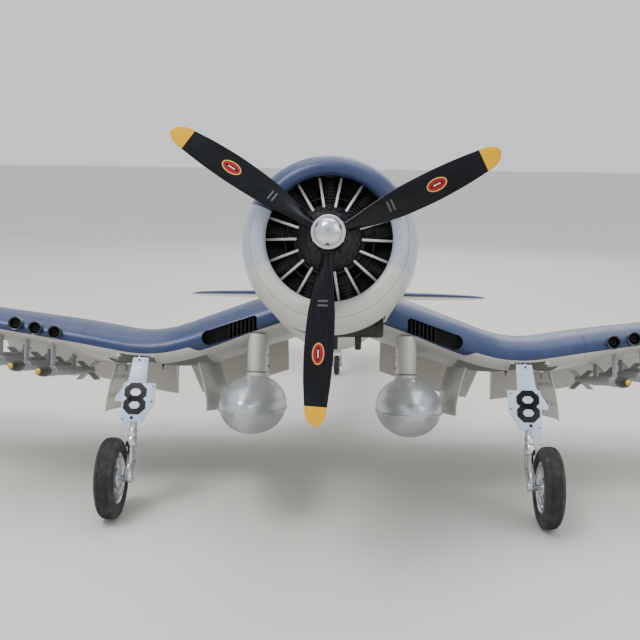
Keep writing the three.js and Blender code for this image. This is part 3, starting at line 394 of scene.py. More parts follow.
class Recipe:
    """One material's node tree, built up by short calls."""

    def __init__(self, name: str, metallic: float, coat: float, place: Matrix) -> None:
        """Starts a material with one shader and the aircraft's own coordinates.

        Args:
            name: The material's name.
            metallic: The shader's metallic value.
            coat: The weight of its clear coat.
            place: The aircraft's frame, which the coordinates are read in.
        """
        self.material = bpy.data.materials.new(name)
        self.material.use_nodes = True
        self.tree = self.material.node_tree
        self.shader = self.tree.nodes["Principled BSDF"]
        self.shader.inputs["Metallic"].default_value = metallic
        self.shader.inputs["Coat Weight"].default_value = coat
        self.shader.inputs["Coat Roughness"].default_value = 0.12
        coords = self.add("ShaderNodeTexCoord")
        self.object = coords.outputs["Object"]
        self.uv = coords.outputs["UV"]
        turn = place.to_euler()
        aligned = self.add("ShaderNodeMapping", {"Vector": self.object, "Location": place.translation,
                "Rotation": turn}, vector_type="TEXTURE")
        self.aircraft = aligned.outputs[0]

    def add(self, kind: str, inputs: dict | None = None, **settings: object) -> bpy.types.Node:
        """Adds a node with its settings, and feeds its inputs with values or sockets."""
        node = self.tree.nodes.new(kind)
        for key, value in settings.items():
            setattr(node, key, value)
        for key, value in (inputs or {}).items():
            self.feed(node.inputs[key], value)
        return node

    def feed(self, socket: Socket, value: object) -> None:
        """Sets a socket, or links another socket to it."""
        if isinstance(value, Socket):
            self.tree.links.new(value, socket)
        else:
            socket.default_value = value

    def sum(self, operation: str, first: object, second: object = 0.0) -> Socket:
        """One math node."""
        return self.add("ShaderNodeMath", {0: first, 1: second}, operation=operation).outputs[0]

    def times(self, first: object, second: object) -> Socket:
        """A product."""
        return self.sum("MULTIPLY", first, second)

    def plus(self, first: object, second: object) -> Socket:
        """A sum."""
        return self.sum("ADD", first, second)

    def minus(self, first: object, second: object) -> Socket:
        """A difference."""
        return self.sum("SUBTRACT", first, second)

    def split(self, vector: Socket) -> list[Socket]:
        """A vector's three parts."""
        return list(self.add("ShaderNodeSeparateXYZ", {0: vector}).outputs)

    def edge(self, value: object, low: float, high: float) -> Socket:
        """0 below low, 1 above high, smooth between."""
        node = self.add("ShaderNodeMapRange", {"Value": value, "From Min": low, "From Max": high},
                interpolation_type="SMOOTHSTEP")
        return node.outputs[0]

    def step(self, value: object, place: float) -> Socket:
        """0 below a place and 1 above it, as a masked paint edge."""
        return self.edge(value, place - PAINT_EDGE, place + PAINT_EDGE)

    def band(self, value: object, centre: float, half: float, soft: float) -> Socket:
        """1 on a band about a value, 0 away from it."""
        away = self.sum("ABSOLUTE", self.minus(value, centre))
        return self.minus(1.0, self.edge(away, half, half + soft))

    def seam(self, value: object, place: float) -> Socket:
        """1 on a panel seam, in metres along a coordinate."""
        return self.band(value, place, 0.0004, 0.0003)

    def scribed(self, seams: Sequence[Socket], weight: float, colour: object, height: object) -> tuple[Socket,
            Socket]:
        """A colour and a height with every seam drawn darker and sunk."""
        for seam in seams:
            colour = self.mix(self.times(seam, weight), colour, shade(SEAM_CODE))
            height = self.minus(height, seam)
        return colour, height

    def mix(self, factor: object, first: object, second: object) -> Socket:
        """A blend of two colours."""
        node = self.add("ShaderNodeMix", {0: factor, 6: first, 7: second}, data_type="RGBA")
        return node.outputs[2]

    def noise(self, scale: float, detail: float = 3.0, vector: Socket | None = None,
            stretch: Point = (1.0, 1.0, 1.0)) -> Socket:
        """A noise value of a scale per metre, on stretched coordinates."""
        base = self.object if vector is None else vector
        mapped = self.add("ShaderNodeMapping", {"Vector": base, "Scale": stretch}).outputs[0]
        return self.add("ShaderNodeTexNoise", {"Vector": mapped, "Scale": scale, "Detail": detail}).outputs[0]

    def finish(self, colour: object, roughness: object, height: object, strength: float, depth: float) -> Material:
        """Feeds the shader its colour, roughness and relief, and returns the material."""
        self.feed(self.shader.inputs["Base Color"], colour)
        self.feed(self.shader.inputs["Roughness"], roughness)
        relief = self.add("ShaderNodeBump", {"Strength": strength, "Distance": depth, "Height": height})
        self.feed(self.shader.inputs["Normal"], relief.outputs[0])
        return self.material

    def varied(self, colour: object, amount: float, scale: float = 26.0) -> Socket:
        """A colour with soft cloudy variation and a little fine grain."""
        cloud = self.edge(self.noise(scale, 4.0), 0.3, 0.7)
        dusty = self.mix(cloud, colour, shade("8d8a84"))
        return self.mix(amount, colour, dusty)

    def rough(self, low: float, high: float, scale: float = 60.0) -> Socket:
        """A roughness that wanders between two values."""
        return self.add("ShaderNodeMapRange", {"Value": self.noise(scale, 4.0), "From Min": 0.3, "From Max": 0.7,
                "To Min": low, "To Max": high}).outputs[0]


@dataclass(frozen=True)
class Finish:
    """A paint, metal or plastic with one colour, cloudy variation, grain and worn roughness."""

    name: str
    code: str
    gloss: tuple[float, float] = (0.3, 0.42)
    metallic: float = 0.0
    coat: float = 0.0
    cloud: float = 0.07
    grain: float = 700.0
    relief: float = 0.06
    depth: float = 0.0004
    brushed: Point = (1.0, 1.0, 1.0)

    def material(self, place: Matrix) -> Material:
        """The finish as a material."""
        recipe = Recipe(self.name, self.metallic, self.coat, place)
        colour = recipe.varied(shade(self.code), self.cloud)
        height = recipe.noise(self.grain, 2.0, recipe.aircraft, self.brushed)
        return recipe.finish(colour, recipe.rough(*self.gloss), height, self.relief, self.depth)


BLUE_CODE = "273862"
SIDE_CODE = "b3bdca"
BELLY_CODE = "cfccc6"
SEAM_CODE = "2a2f38"


@dataclass(frozen=True)
class HullPaint:
    """Three paints about the thrust line, with panel seams: blue above, grey-blue at the sides, pale grey below."""

    name: str
    top_slope: float = 0.445
    belly_slope: float = 0.404
    seams: tuple[float, ...] = ()

    def material(self, place: Matrix) -> Material:
        """The paint as a material."""
        recipe = Recipe(self.name, 0.15, 0.08, place)
        across, aft, up = recipe.split(recipe.aircraft)
        side = recipe.sum("ABSOLUTE", across)
        wander = recipe.times(recipe.minus(recipe.noise(300.0, 1.0), 0.5), 0.0006)
        above = recipe.minus(recipe.plus(up, wander), recipe.times(side, self.top_slope))
        below = recipe.plus(recipe.plus(up, wander), recipe.times(side, self.belly_slope))
        colour = recipe.mix(recipe.step(below, 0.0), shade(BELLY_CODE), shade(SIDE_CODE))
        colour = recipe.mix(recipe.step(above, 0.0), colour, shade(BLUE_CODE))
        colour = recipe.varied(colour, 0.06)
        height = recipe.times(recipe.noise(900.0, 2.0), 0.1)
        colour, height = recipe.scribed([recipe.seam(aft, seam) for seam in self.seams], 0.55, colour, height)
        return recipe.finish(colour, recipe.rough(0.36, 0.44), height, 0.2, 0.0004)


@dataclass(frozen=True)
class WingPaint:
    """Blue on top and pale grey underneath, read from the piece's own map: the span, and the way round the nose."""

    name: str
    line: float = -0.006
    dip: bool = False
    seams: tuple[float, ...] = ()
    chord_seams: tuple[float, ...] = ()
    under: str = BELLY_CODE
    over: str = BLUE_CODE

    def material(self, place: Matrix) -> Material:
        """The paint as a material."""
        recipe = Recipe(self.name, 0.2, 0.08, place)
        span, round_nose, _ = recipe.split(recipe.uv)
        out = recipe.sum("ABSOLUTE", span)
        line = round_nose
        if self.dip:
            inboard = recipe.minus(1.0, recipe.edge(out, 0.236, 0.262))
            outboard = recipe.edge(out, 0.13, 0.232)
            lowered = recipe.times(recipe.times(inboard, outboard), 0.005)
            line = recipe.plus(recipe.plus(round_nose, lowered), recipe.times(inboard, 0.0125))
        top = recipe.step(line, self.line)
        colour = recipe.varied(recipe.mix(top, shade(self.under), shade(self.over)), 0.06)
        height = recipe.times(recipe.noise(900.0, 2.0), 0.12)
        reach = recipe.sum("ABSOLUTE", round_nose)
        lines = [recipe.seam(out, seam) for seam in self.seams]
        lines += [recipe.seam(reach, seam) for seam in self.chord_seams]
        colour, height = recipe.scribed(lines, 0.4, colour, height)
        return recipe.finish(colour, recipe.rough(0.34, 0.42), height, 0.2, 0.0004)


@dataclass(frozen=True)
class BladePaint:
    """Glossy black with faint streaks along the blade, a yellow tip and an oval badge with no lettering.

    The map reads the distance from the hub and the distance across the blade, in metres.
    """

    name: str = "blade lacquer"
    tip: float = 0.2275
    badge: float = 0.158

    def oval(self, recipe: Recipe, along: object, across: object, half: float, width: float) -> Socket:
        """1 inside an oval about the badge's centre."""
        x = recipe.sum("DIVIDE", recipe.minus(along, self.badge), half)
        y = recipe.sum("DIVIDE", across, width)
        away = recipe.sum("SQRT", recipe.plus(recipe.sum("POWER", x, 2.0), recipe.sum("POWER", y, 2.0)))
        return recipe.minus(1.0, recipe.edge(away, 0.97, 1.03))

    def material(self, place: Matrix) -> Material:
        """The lacquer as a material."""
        recipe = Recipe(self.name, 0.0, 0.05, place)
        recipe.shader.inputs["Specular IOR Level"].default_value = 0.22
        along, across, _ = recipe.split(recipe.uv)
        streak = recipe.edge(recipe.noise(420.0, 4.0, recipe.uv, (0.06, 1.0, 1.0)), 0.42, 0.7)
        colour = recipe.mix(recipe.times(streak, 0.55), shade("050609"), shade("151a28"))
        for half, width, code in ((0.0145, 0.0085, "d3b063"), (0.0130, 0.0071, "a3141c"), (0.0098, 0.0026, "1d1c26")):
            colour = recipe.mix(self.oval(recipe, along, across, half, width), colour, shade(code))
        bar = recipe.times(recipe.band(along, self.badge, 0.0052, 0.0004), recipe.band(across, 0.0, 0.0007, 0.0003))
        colour = recipe.mix(bar, colour, shade("e8dcb8"))
        for low in (0.088, 0.094):
            dash = recipe.times(recipe.band(along, low, 0.0011, 0.0003), recipe.band(across, 0.002, 0.0075, 0.0004))
            colour = recipe.mix(recipe.times(dash, 0.35), colour, shade("8f9198"))
        colour = recipe.mix(recipe.edge(along, self.tip - 0.0002, self.tip + 0.0002), colour, shade("e6ae00"))
        return recipe.finish(colour, recipe.rough(0.22, 0.32), streak, 0.04, 0.0004)


@dataclass(frozen=True)
class TyreRubber:
    """Black rubber with fine moulding grain and dust in its grooves."""

    name: str = "tyre rubber"

    def material(self, place: Matrix) -> Material:
        """The rubber as a material."""
        recipe = Recipe(self.name, 0.0, 0.0, place)
        dust = recipe.edge(recipe.noise(70.0, 5.0), 0.45, 0.8)
        colour = recipe.mix(recipe.times(dust, 0.4), shade("28282a"), shade("6b665e"))
        height = recipe.noise(1600.0, 3.0)
        return recipe.finish(colour, recipe.rough(0.6, 0.85), height, 0.25, 0.0004)


@dataclass(frozen=True)
class ClearSheet:
    """Clear moulded sheet with faint waviness and a little surface haze."""

    name: str = "clear moulded sheet"

    def material(self, place: Matrix) -> Material:
        """The sheet as a material."""
        recipe = Recipe(self.name, 0.0, 0.0, place)
        recipe.shader.inputs["Transmission Weight"].default_value = 1.0
        recipe.shader.inputs["IOR"].default_value = 1.3
        colour = recipe.varied(shade("dfe8ea"), 0.03)
        return recipe.finish(colour, recipe.rough(0.02, 0.07), recipe.noise(25.0, 2.0), 0.03, 0.0006)


@dataclass(frozen=True)
class Plywood:
    """Birch plywood with long dark grain."""

    name: str = "birch plywood"

    def material(self, place: Matrix) -> Material:
        """The plywood as a material."""
        recipe = Recipe(self.name, 0.0, 0.0, place)
        grain = recipe.noise(60.0, 6.0, recipe.aircraft, (1.0, 1.0, 12.0))
        colour = recipe.mix(recipe.edge(grain, 0.35, 0.7), shade("c79c68"), shade("a0774a"))
        return recipe.finish(colour, recipe.rough(0.55, 0.7), grain, 0.15, 0.0006)


NACELLE_SEAMS = (0.0335, 0.176)
BODY_SEAMS = (0.44, 0.79, 0.935, 1.12, 1.3, 1.46, 1.6)


class Paint(Enum):
    """Every finish on the aircraft."""

    HULL = HullPaint("hull paint", seams=BODY_SEAMS)
    COWL = HullPaint("cowl paint", seams=NACELLE_SEAMS)
    WING = WingPaint("wing paint", dip=True, seams=(0.315,), chord_seams=(0.12, 0.3))
    PANEL = WingPaint("outer wing paint", seams=(0.64, 0.86, 1.03), chord_seams=(0.1, 0.26))
    FLAP = WingPaint("flap paint", line=0.001, seams=())
    TAIL = WingPaint("tailplane paint", line=-0.012, seams=(0.2, 0.34), chord_seams=(0.05,))
    FIN = Finish("fin paint", SIDE_CODE, coat=0.35)
    BLUE = Finish("blue trim paint", BLUE_CODE, metallic=0.2, coat=0.1)
    GREY = Finish("pale grey paint", "c9c7c2", coat=0.1, cloud=0.04)
    DOOR = Finish("door blue paint", "b9cadf", coat=0.3)
    WELL = Finish("well primer", "a9aba6", gloss=(0.45, 0.6))
    # Near-black: the real black of the instrument dials, and painted shade inside the cowl, the body, the intake
    # slots and the gun bores.
    DARK = Finish("shadow black", "0c0d0f", gloss=(0.5, 0.7))
    RADIAL = Finish("engine black", "1d2023", gloss=(0.35, 0.5), metallic=0.35, relief=0.25, grain=1400.0)
    EXHAUST = Finish("exhaust black", "24221f", gloss=(0.45, 0.65), metallic=0.5, relief=0.2)
    ENGINE = Finish("cast engine alloy", "9fa2a4", gloss=(0.4, 0.55), metallic=0.8, relief=0.35, grain=1300.0)
    ALLOY = Finish("bright machined alloy", "d8dadd", gloss=(0.19, 0.24), metallic=1.0, relief=0.015, grain=260.0,
            brushed=(1.0, 14.0, 1.0))
    STEEL = Finish("ground steel", "bfc1c4", gloss=(0.12, 0.25), metallic=1.0)
    SCREW = Finish("blackened screw", "1a1a1c", gloss=(0.3, 0.45), metallic=0.7)
    ROD = Finish("polished pushrod", "dfe1e4", gloss=(0.3, 0.4), metallic=0.1)
    BLADE = BladePaint()
    RUBBER = TyreRubber()
    CLEAR = ClearSheet()
    WOOD = Plywood()
    COCKPIT = Finish("cockpit green", "55614b", gloss=(0.5, 0.65), cloud=0.15, relief=0.15)
    TANK = Finish("tank silver", "bcc0c4", gloss=(0.28, 0.31), metallic=0.65, cloud=0.03, relief=0.0)
    SHELL = Finish("rocket grey", "a5aaad", gloss=(0.4, 0.55), metallic=0.2)
    OLIVE = Finish("rocket green", "1c261c", gloss=(0.3, 0.45), coat=0.2)
    YELLOW = Finish("signal yellow", "d8b21c", gloss=(0.35, 0.5))
    BOTTLE = Finish("fuel bottle white", "e2e2d8", gloss=(0.3, 0.45), cloud=0.12)
    WRAP = Finish("battery wrap", "24498a", gloss=(0.2, 0.4))
    BELT = Finish("webbing tan", "9c8a63", gloss=(0.75, 0.9), relief=0.5, grain=2400.0)
    DIAL = Finish("dial white", "dcdccf", gloss=(0.3, 0.4))
    GUN_RIM = Finish("gunport rim", "3b3f45", gloss=(0.2, 0.32), metallic=0.75, coat=0.3)


SLOT_PAINT = {"hull_paint": Paint.HULL, "navy_blue": Paint.BLUE, "pale_grey": Paint.GREY, "door_blue": Paint.DOOR,
        "engine_black": Paint.RADIAL, "exhaust_black": Paint.EXHAUST, "engine_alloy": Paint.ENGINE,
        "bright_alloy": Paint.ALLOY, "steel": Paint.STEEL, "blade_black": Paint.RADIAL, "tyre_rubber": Paint.RUBBER,
        "clear_canopy": Paint.CLEAR, "plywood": Paint.WOOD, "cockpit_green": Paint.COCKPIT,
        "tank_silver": Paint.TANK, "rocket_olive": Paint.OLIVE, "fuel_bottle": Paint.BOTTLE,
        "battery_wrap": Paint.WRAP}


@dataclass
class Workshop:
    """Holds the aircraft's frame and the mixed paints, and delivers finished pieces."""

    frame: dict
    place: Matrix
    pots: dict[Paint, Material] = field(default_factory=dict)

    def paint(self, paint: Paint) -> Material:
        """The material of a paint, mixed once."""
        if paint not in self.pots:
            self.pots[paint] = paint.value.material(self.place)
        return self.pots[paint]

    def deliver(self, piece: Piece, name: str, body: str, slot: str, *paints: Paint, replaces: Sequence[str] = (),
            smooth: float = 32.0) -> Piece:
        """Moves a drawn piece into the frame, dresses it and hands it to its body.

        Args:
            piece: The piece, drawn in millimetres in the aircraft's frame.
            name: Its name.
            body: The body it moves with.
            slot: The record's material slot; not used.
            paints: Its paints, in the order of its faces' material numbers.
            replaces: The nodes that it stands for.
            smooth: The angle in degrees under which its faces are shaded as one.

        Returns:
            The delivered piece.
        """
        piece.name = piece.data.name = name.replace(" ", "_")
        alone(piece)
        bpy.ops.object.shade_smooth_by_angle(angle=math.radians(smooth))
        piece.data.transform(self.place @ Matrix.Scale(METRES, 4))
        for paint in paints:
            piece.data.materials.append(self.paint(paint))
        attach(piece, body)
        if replaces:
            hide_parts(*replaces)
        LOG.info("%-28s %6d faces on %s", name, len(piece.data.polygons), body)
        return piece

    def deliver_pair(self, piece: Piece, name: str, body: str, slot: str, *paints: Paint,
            replaces: Sequence[str] = (), smooth: float = 32.0) -> None:
        """Delivers a port piece and its mirrored twin; {side} in a name stands for left and right."""
        twin = copied(piece, STARBOARD)
        for half, side in ((piece, "left"), (twin, "right")):
            nodes = [node.format(side=side) for node in replaces]
            self.deliver(half, name.format(side=side), body.format(side=side), slot, *paints, replaces=nodes,
                    smooth=smooth)

    def dress_frame(self) -> None:
        """Paints every node of the frame by its material slot, so that what stays visible is finished."""
        slots = {row["node"]: row["material_slot"] for row in self.frame["record"]["subparts"]}
        for name, node in self.frame["nodes"].items():
            material = self.paint(SLOT_PAINT[slots[name]])
            node.data.materials.clear()
            node.data.materials.append(material)


def own_frame(joints: Sequence[dict]) -> Matrix:
    """The aircraft's frame in the row's, from the propeller's axis."""
    spin = next(joint for joint in joints if joint["name"] == "propeller_spin")
    aft = -Vector(spin["axis"]).normalized()
    up = Vector((1, 0, 0)).cross(aft)
    turn = Matrix(((1, 0, 0), aft, up)).transposed().to_4x4()
    return Matrix.Translation(Vector(spin["pos_m"])) @ turn


# ---------------------------------------------------------------- nose
@dataclass
class Propeller:
    """The three-blade airscrew with its polished spinner."""

    radius: float = 254.0
    phase: float = 27.3
    pitch: float = 254.0
    tip_start: float = 232.0
    blade: Table = Table(((10, 15, 13), (30, 19, 10), (70, 31.5, 7), (110, 39.5, 5.4), (150, 41, 4.4),
            (190, 38, 3.5), (228, 31, 2.7), (254, 27, 2.2)))
    sections: int = 46
    steps: int = 15

    def section(self, radius: float) -> Marked:
        """The points round one blade section, each with its place across the blade."""
        _, chord, thick = self.blade.at(radius)
        if radius > self.tip_start:
            share = (radius - self.tip_start) / (self.radius - self.tip_start)
            chord *= math.sqrt(max(1 - share ** 2, 0.003))
        twist = math.atan2(self.pitch, 2 * math.pi * max(radius, 45))
        points = []
        for side in (-1, 1):
            for k in range(self.steps):
                s = k / (self.steps - 1)
                s = s if side < 0 else 1 - s
                s = s * s * (3 - 2 * s)
                along = (0.42 - s) * chord
                off = side * thick * 0.5 * max(naca(s) * 0.95, 0.12 if 0 < s < 1 else 0.02)
                tangent = along * math.cos(twist) + off * math.sin(twist)
                forward = along * math.sin(twist) - off * math.cos(twist)
                points.append((Vector((radius, -forward, tangent)), along + 0.08 * chord))
        return points

    def build(self, shop: Workshop) -> None:
        """Makes the blades, hub and spinner."""
        stations = spaced(12, self.tip_start, self.sections - 14)
        stations += [self.tip_start + (self.radius - self.tip_start) * math.sin(k / 14 * math.pi / 2)
                for k in range(1, 15)]
        rows = [self.section(radius) for radius in stations]
        rings = [[point for point, _ in row] for row in rows]

        def mark(row: int, column: int) -> tuple[float, float]:
            """The distance out and across the blade, in metres."""
            return stations[row] / 1000, rows[row][column % len(rows[row])][1] / 1000

        blade = skin(rings, mark)
        copies = [copied(blade, rolled(self.phase + 120 * k)) for k in range(3)]
        bpy.data.objects.remove(blade, do_unlink=True)
        hub = turned([(6.6, -15.6), (18, -15.6), (21.5, -14.6), (23, -12), (23, 12), (21, 14.8), (6.6, 15.6)],
                ring=True)
        collars = [moved(rod((9, 0, 0), (26, 0, 0), 11.5, 9.5, 32, 1.2), rolled(self.phase + 120 * k))
                for k in range(3)]
        piece = united(unmarked(hub), *copies, *[unmarked(collar) for collar in collars])
        shop.deliver(piece, "airscrew", "propeller_rotor", "blade_black", Paint.BLADE, replaces=["propeller"],
                smooth=40)
        dome = swept([(0.3, -47), (5, -46.6), (10, -45), (15.2, -40.8), (18.3, -35), (19.2, -31.4)])
        skirt = [(19.4, -31.0), (21.8, -30.8), (22.5, -30.0), (22.5, -17), (22.1, -16.3), (6.2, -16.3), (6.2, 126),
                (0.3, 126)]
        spinner = turned([*dome, *skirt], 64)
        seat = turned([(0.3, -48), (4.2, -48), (4.2, -46.4), (0.3, -46.2)], 40)
        cut(spinner, seat)
        shop.deliver(spinner, "spinner dome", "propeller_rotor", "bright_alloy", Paint.ALLOY, replaces=["spinner"])
        screw = turned([(0.3, -48.2), (3.2, -48), (3.6, -47.4), (3.6, -45.8), (0.3, -45.8)], 32)
        socket = turned([(0.2, -49), (1.6, -49), (1.6, -46.8), (0.2, -46.8)], 6)
        holes = [rod(at_angle(20.2, 90 + 120 * k, -24.5), at_angle(23.5, 90 + 120 * k, -24.5), 1.2, sides=16,
                edge=0.2) for k in range(3)]
        cut(screw, socket)
        shop.deliver(united(screw, *holes), "spinner screws", "propeller_rotor", "bright_alloy", Paint.STEEL)


def naca(s: float) -> float:
    """A classic four-digit section's half thickness along its chord, 1 at its thickest."""
    return (0.2969 * math.sqrt(s) - 0.126 * s - 0.3516 * s ** 2 + 0.2843 * s ** 3 - 0.1 * s ** 4) / 0.1


def at_angle(radius: float, angle: float, aft: float) -> Point:
    """A point about the thrust line; the angle is in degrees from +X towards +Z."""
    turn = math.radians(angle)
    return math.cos(turn) * radius, aft, math.sin(turn) * radius


@dataclass
class Cowling:
    """The round cowl with its open cowl flaps."""

    radius: float = 128.0
    wall: float = 2.4
    rear: float = 190.0
    exit_low: Point = (-48, 160, -140)
    exit_high: Point = (98, 240, -88)
    flap_count: int = 10
    flap_start: float = -28.0
    flap_span: float = 23.6

    def build(self, shop: Workshop) -> None:
        """Makes the cowl shell, its screws and the ring of cowl flaps."""
        outer = swept([(86.4, 35), (87.6, 31), (91.5, 27.4), (97.5, 26), (104.5, 29), (112, 38), (119, 56),
                (124.6, 88), (self.radius, 138), (self.radius, 162)], 5)
        inner = [(self.radius, self.rear - 0.6), (self.radius - 0.6, self.rear),
                (self.radius - self.wall, self.rear), (self.radius - self.wall, 140), (122.4, 92), (112, 52),
                (100, 40), (89, 37)]
        shell = turned([*outer, *inner], 128, ring=True)
        cut(shell, block(self.exit_low, self.exit_high, 0))
        # Inward faces of the cowl take the near-black second paint: painted shade inside the cowl.
        second_paint(shell, lambda centre, normal:
                centre.y > 34 and normal.dot(Vector((centre.x, 0, centre.z))) < -0.2)
        shop.deliver(shell, "cowl shell", "airframe", "hull_paint", Paint.COWL, Paint.DARK, replaces=["cowling"])
        studs = []
        for k in range(18):
            angle = 10 + 20 * k
            z = at_angle(self.radius, angle, 0)[2]
            if z < -95:
                continue
            studs.append(rod(at_angle(self.radius - 1, angle, 183), at_angle(self.radius + 0.7, angle, 183), 2.1,
                    sides=12, edge=0.3))
        shop.deliver(united(*studs), "cowl screws", "airframe", "navy_blue", Paint.SCREW)
        self.build_flaps(shop)

    def build_flaps(self, shop: Workshop) -> None:
        """Makes the ten cowl flaps, each a curved tapering plate."""
        flaps = []
        for k in range(self.flap_count):
            low = self.flap_start + k * self.flap_span + 0.4
            high = low + self.flap_span - 0.8
            rings = []
            for aft, radius in ((190.7, 125.2), (204, 126.9), (218, 128.4), (232, 129.5)):
                angles = spaced(low, high, 9)
                inside = [Vector(at_angle(radius - 1.7, angle, aft)) for angle in reversed(angles)]
                rings.append([Vector(at_angle(radius, angle, aft)) for angle in angles] + inside)
            flaps.append(skin(rings))
        shop.deliver(soften(united(*flaps), 0.4), "cowl flaps", "airframe", "hull_paint", Paint.COWL,
                replaces=["cowl_flap_ring"])
        links = [rod(at_angle(112, angle, 236), at_angle(125.5, angle, 221), 1.6, sides=12)
                for angle in spaced(-16, 196, self.flap_count)]
        shop.deliver(united(*links), "cowl flap links", "airframe", "bright_alloy", Paint.ALLOY)


@dataclass
class DummyRadial:
    """The nine-cylinder dummy engine behind the airscrew, with eighteen bright pushrods."""

    cylinders: int = 9
    fins: int = 9
    cylinder_y: float = 84.0

    def cylinder(self) -> Piece:
        """One finned cylinder with its head, rocker boxes and plug, standing along +Y from the crankcase."""
        profile = [(14.5, 42)]
        pitch = 4.6
        for k in range(self.fins):
            low = 50 + k * pitch
            profile += [(15.2, low), (19.6, low + 0.5), (19.6, low + 1.4), (15.2, low + 1.9)]
        profile += [(17.5, 93), (18.5, 97), (17.5, 108), (13, 112.5), (4, 114)]
        barrel = turned(profile, 28)
        boxes = [block((x - 5, 96, -24), (x + 5, 112, -6), 2.2) for x in (-10, 10)]
        bolts = [rod((x, 104, -24), (x, 104, -26.2), 1.7, sides=6, edge=0.3) for x in (-10, 10)]
        plug = rod((0, 104, -20), (0, 106, -27), 2.4, 1.5, 12)
        # Local +Y points away from the crankshaft and local -Z towards the airscrew.
        piece = united(barrel, *boxes, *bolts, plug)
        return moved(piece, Matrix.Translation((0, self.cylinder_y, 0)) @ Matrix.Rotation(math.pi / 2, 4, "X"))

    def build(self, shop: Workshop) -> None:
        """Makes the crankcase, cylinders, pushrods and leads."""
        first = self.cylinder()
        ring = [copied(first, rolled(360 / self.cylinders * k)) for k in range(self.cylinders)]
        bpy.data.objects.remove(first, do_unlink=True)
        case = turned([(9, 22), (18, 22), (20, 23), (24, 25), (30, 26.5), (33, 30), (38, 35), (44, 40), (46, 45),
                (46, 50), (49, 52), (50, 60), (50, 104), (9, 104)], 72, ring=True)
        bolts = []
        for k in range(18):
            angle = 360 / 18 * k + 10
            bolts.append(rod(at_angle(41.5, angle, 40), at_angle(41.5, angle, 34.5), 1.9, sides=6, edge=0.3))
        for k in range(9):
            angle = 40 * k + 30
            bolts.append(rod(at_angle(26, angle, 28), at_angle(26, angle, 22.5), 1.7, sides=6, edge=0.3))
        governor = united(rod((-13, 31, 29), (-13, 22, 29), 6.5, 5.5, 24, 0.8),
                rod((13, 31, 29), (13, 20, 29), 4.5, 4, 24, 0.8))
        sump = block((-7, 30, -44), (7, 50, -34), 2.5)
        shop.deliver(united(case, *ring, *bolts, governor, sump), "dummy radial engine", "airframe", "engine_black",
                Paint.RADIAL, replaces=["dummy_radial"])
        rods, cups = [], []
        for k in range(2 * self.cylinders):
            angle = 90 + 20 * (k + 0.5)
            low, high = at_angle(38, angle, 42), at_angle(92, angle, 58)
            rods.append(rod(low, high, 1.9, sides=16, edge=0.2))
            cups.append(rod(at_angle(36, angle, 41.4), at_angle(42, angle, 43.2), 2.9, 2.4, 16, 0.4))
            cups.append(rod(at_angle(88, angle, 56.8), at_angle(96, angle, 59.2), 2.4, 3.0, 16, 0.4))
        shop.deliver(united(*rods), "pushrod tubes", "airframe", "bright_alloy", Paint.ROD)
        shop.deliver(united(*cups), "pushrod cups", "airframe", "engine_black", Paint.RADIAL)
        hoop = []
        for k in range(97):
            angle = 360 / 96 * k
            hoop.append([Vector(at_angle(62 + 2.2 * math.cos(t), angle, 68 + 2.2 * math.sin(t)))
                    for t in spaced(0, 2 * math.pi * 11 / 12, 12)])
        harness = skin([*hoop[:-1], hoop[0]])
        shop.deliver(harness, "ignition ring", "airframe", "engine_black", Paint.RADIAL)
        baffle = turned([(50.5, 105), (121.5, 105), (121.5, 106.6), (50.5, 106.6)], 96, ring=True)
        shop.deliver(baffle, "cooling baffle", "airframe", "engine_black", Paint.RADIAL)


@dataclass
class EngineBay:
    """The petrol engine and its exhaust can behind the dummy engine."""

    can_y: float = 198.0
    can_z: float = -112.0

    def build(self, shop: Workshop) -> None:
        """Makes the engine, the can, its two stubs and the bracket beside them."""
        core = turned([(0.3, 128), (7, 128), (7, 108.4), (14, 108.4), (16, 110), (20, 116), (30, 124), (31, 130),
                (30, 150), (31, 166), (29, 172), (0.3, 172)], 48)
        mounts = [rod((x, 184, z), (x, 237.4, z), 5, sides=20) for x in (-27, 27) for z in (-23, 23)]
        plate_block = block((-34, 170, -30), (34, 184, 30), 3)
        carburettor = block((-18, 180, 12), (18, 206, 46), 3)
        barrel = moved(turned([(16, 20)] + [point for k in range(12)
                for point in ((17, 30 + 5.4 * k), (24, 30.6 + 5.4 * k), (24, 31.6 + 5.4 * k), (17, 32.4 + 5.4 * k))]
                + [(19, 97), (8, 98.5)], 32), Matrix.Translation((0, 146, 0)) @ Matrix.Rotation(-math.pi / 2, 4, "X"))
        plug = rod((0, 146, -96), (0, 146, -106), 6, 4, 6)
        piece = united(core, *mounts, plate_block, carburettor, barrel, plug)
        shop.deliver(piece, "petrol engine castings", "airframe", "engine_alloy", Paint.ENGINE,
                replaces=["petrol_engine"])
        y, z = self.can_y, self.can_z
        can = rod((-32, y, z), (82, y, z), 17, sides=48, edge=3.0)
        bands = [rod((x, y, z), (x + 3, y, z), 17.6, sides=48, edge=0.5) for x in (-22, 70)]
        stubs = [rod((x, y, -120), (x, y + 8, -147), 5.2, 4.8, 24) for x in (8, 44)]
        mouths = [rod((x, y + 7, -142), (x, y + 9, -149), 3.7, sides=24, edge=0) for x in (8, 44)]
        stub_set = cut(united(*stubs), *mouths)
        shop.deliver(united(can, *bands, stub_set), "exhaust can", "airframe", "exhaust_black", Paint.EXHAUST,
                replaces=["muffler"])
        bracket = united(block((84, 186, -104), (86.4, 232, -84), 0.6), block((70, 190, -103), (86, 206, -101), 0.6),
                rod((78, 198, -99), (78, 198, -105), 2.6, sides=6), rod((22, 205, -118), (34, 205, -136), 1.6),
                rod((22, 205, -118), (6, 206, -100), 1.6))
        shop.deliver(bracket, "exhaust bracket", "airframe", "bright_alloy", Paint.ALLOY)


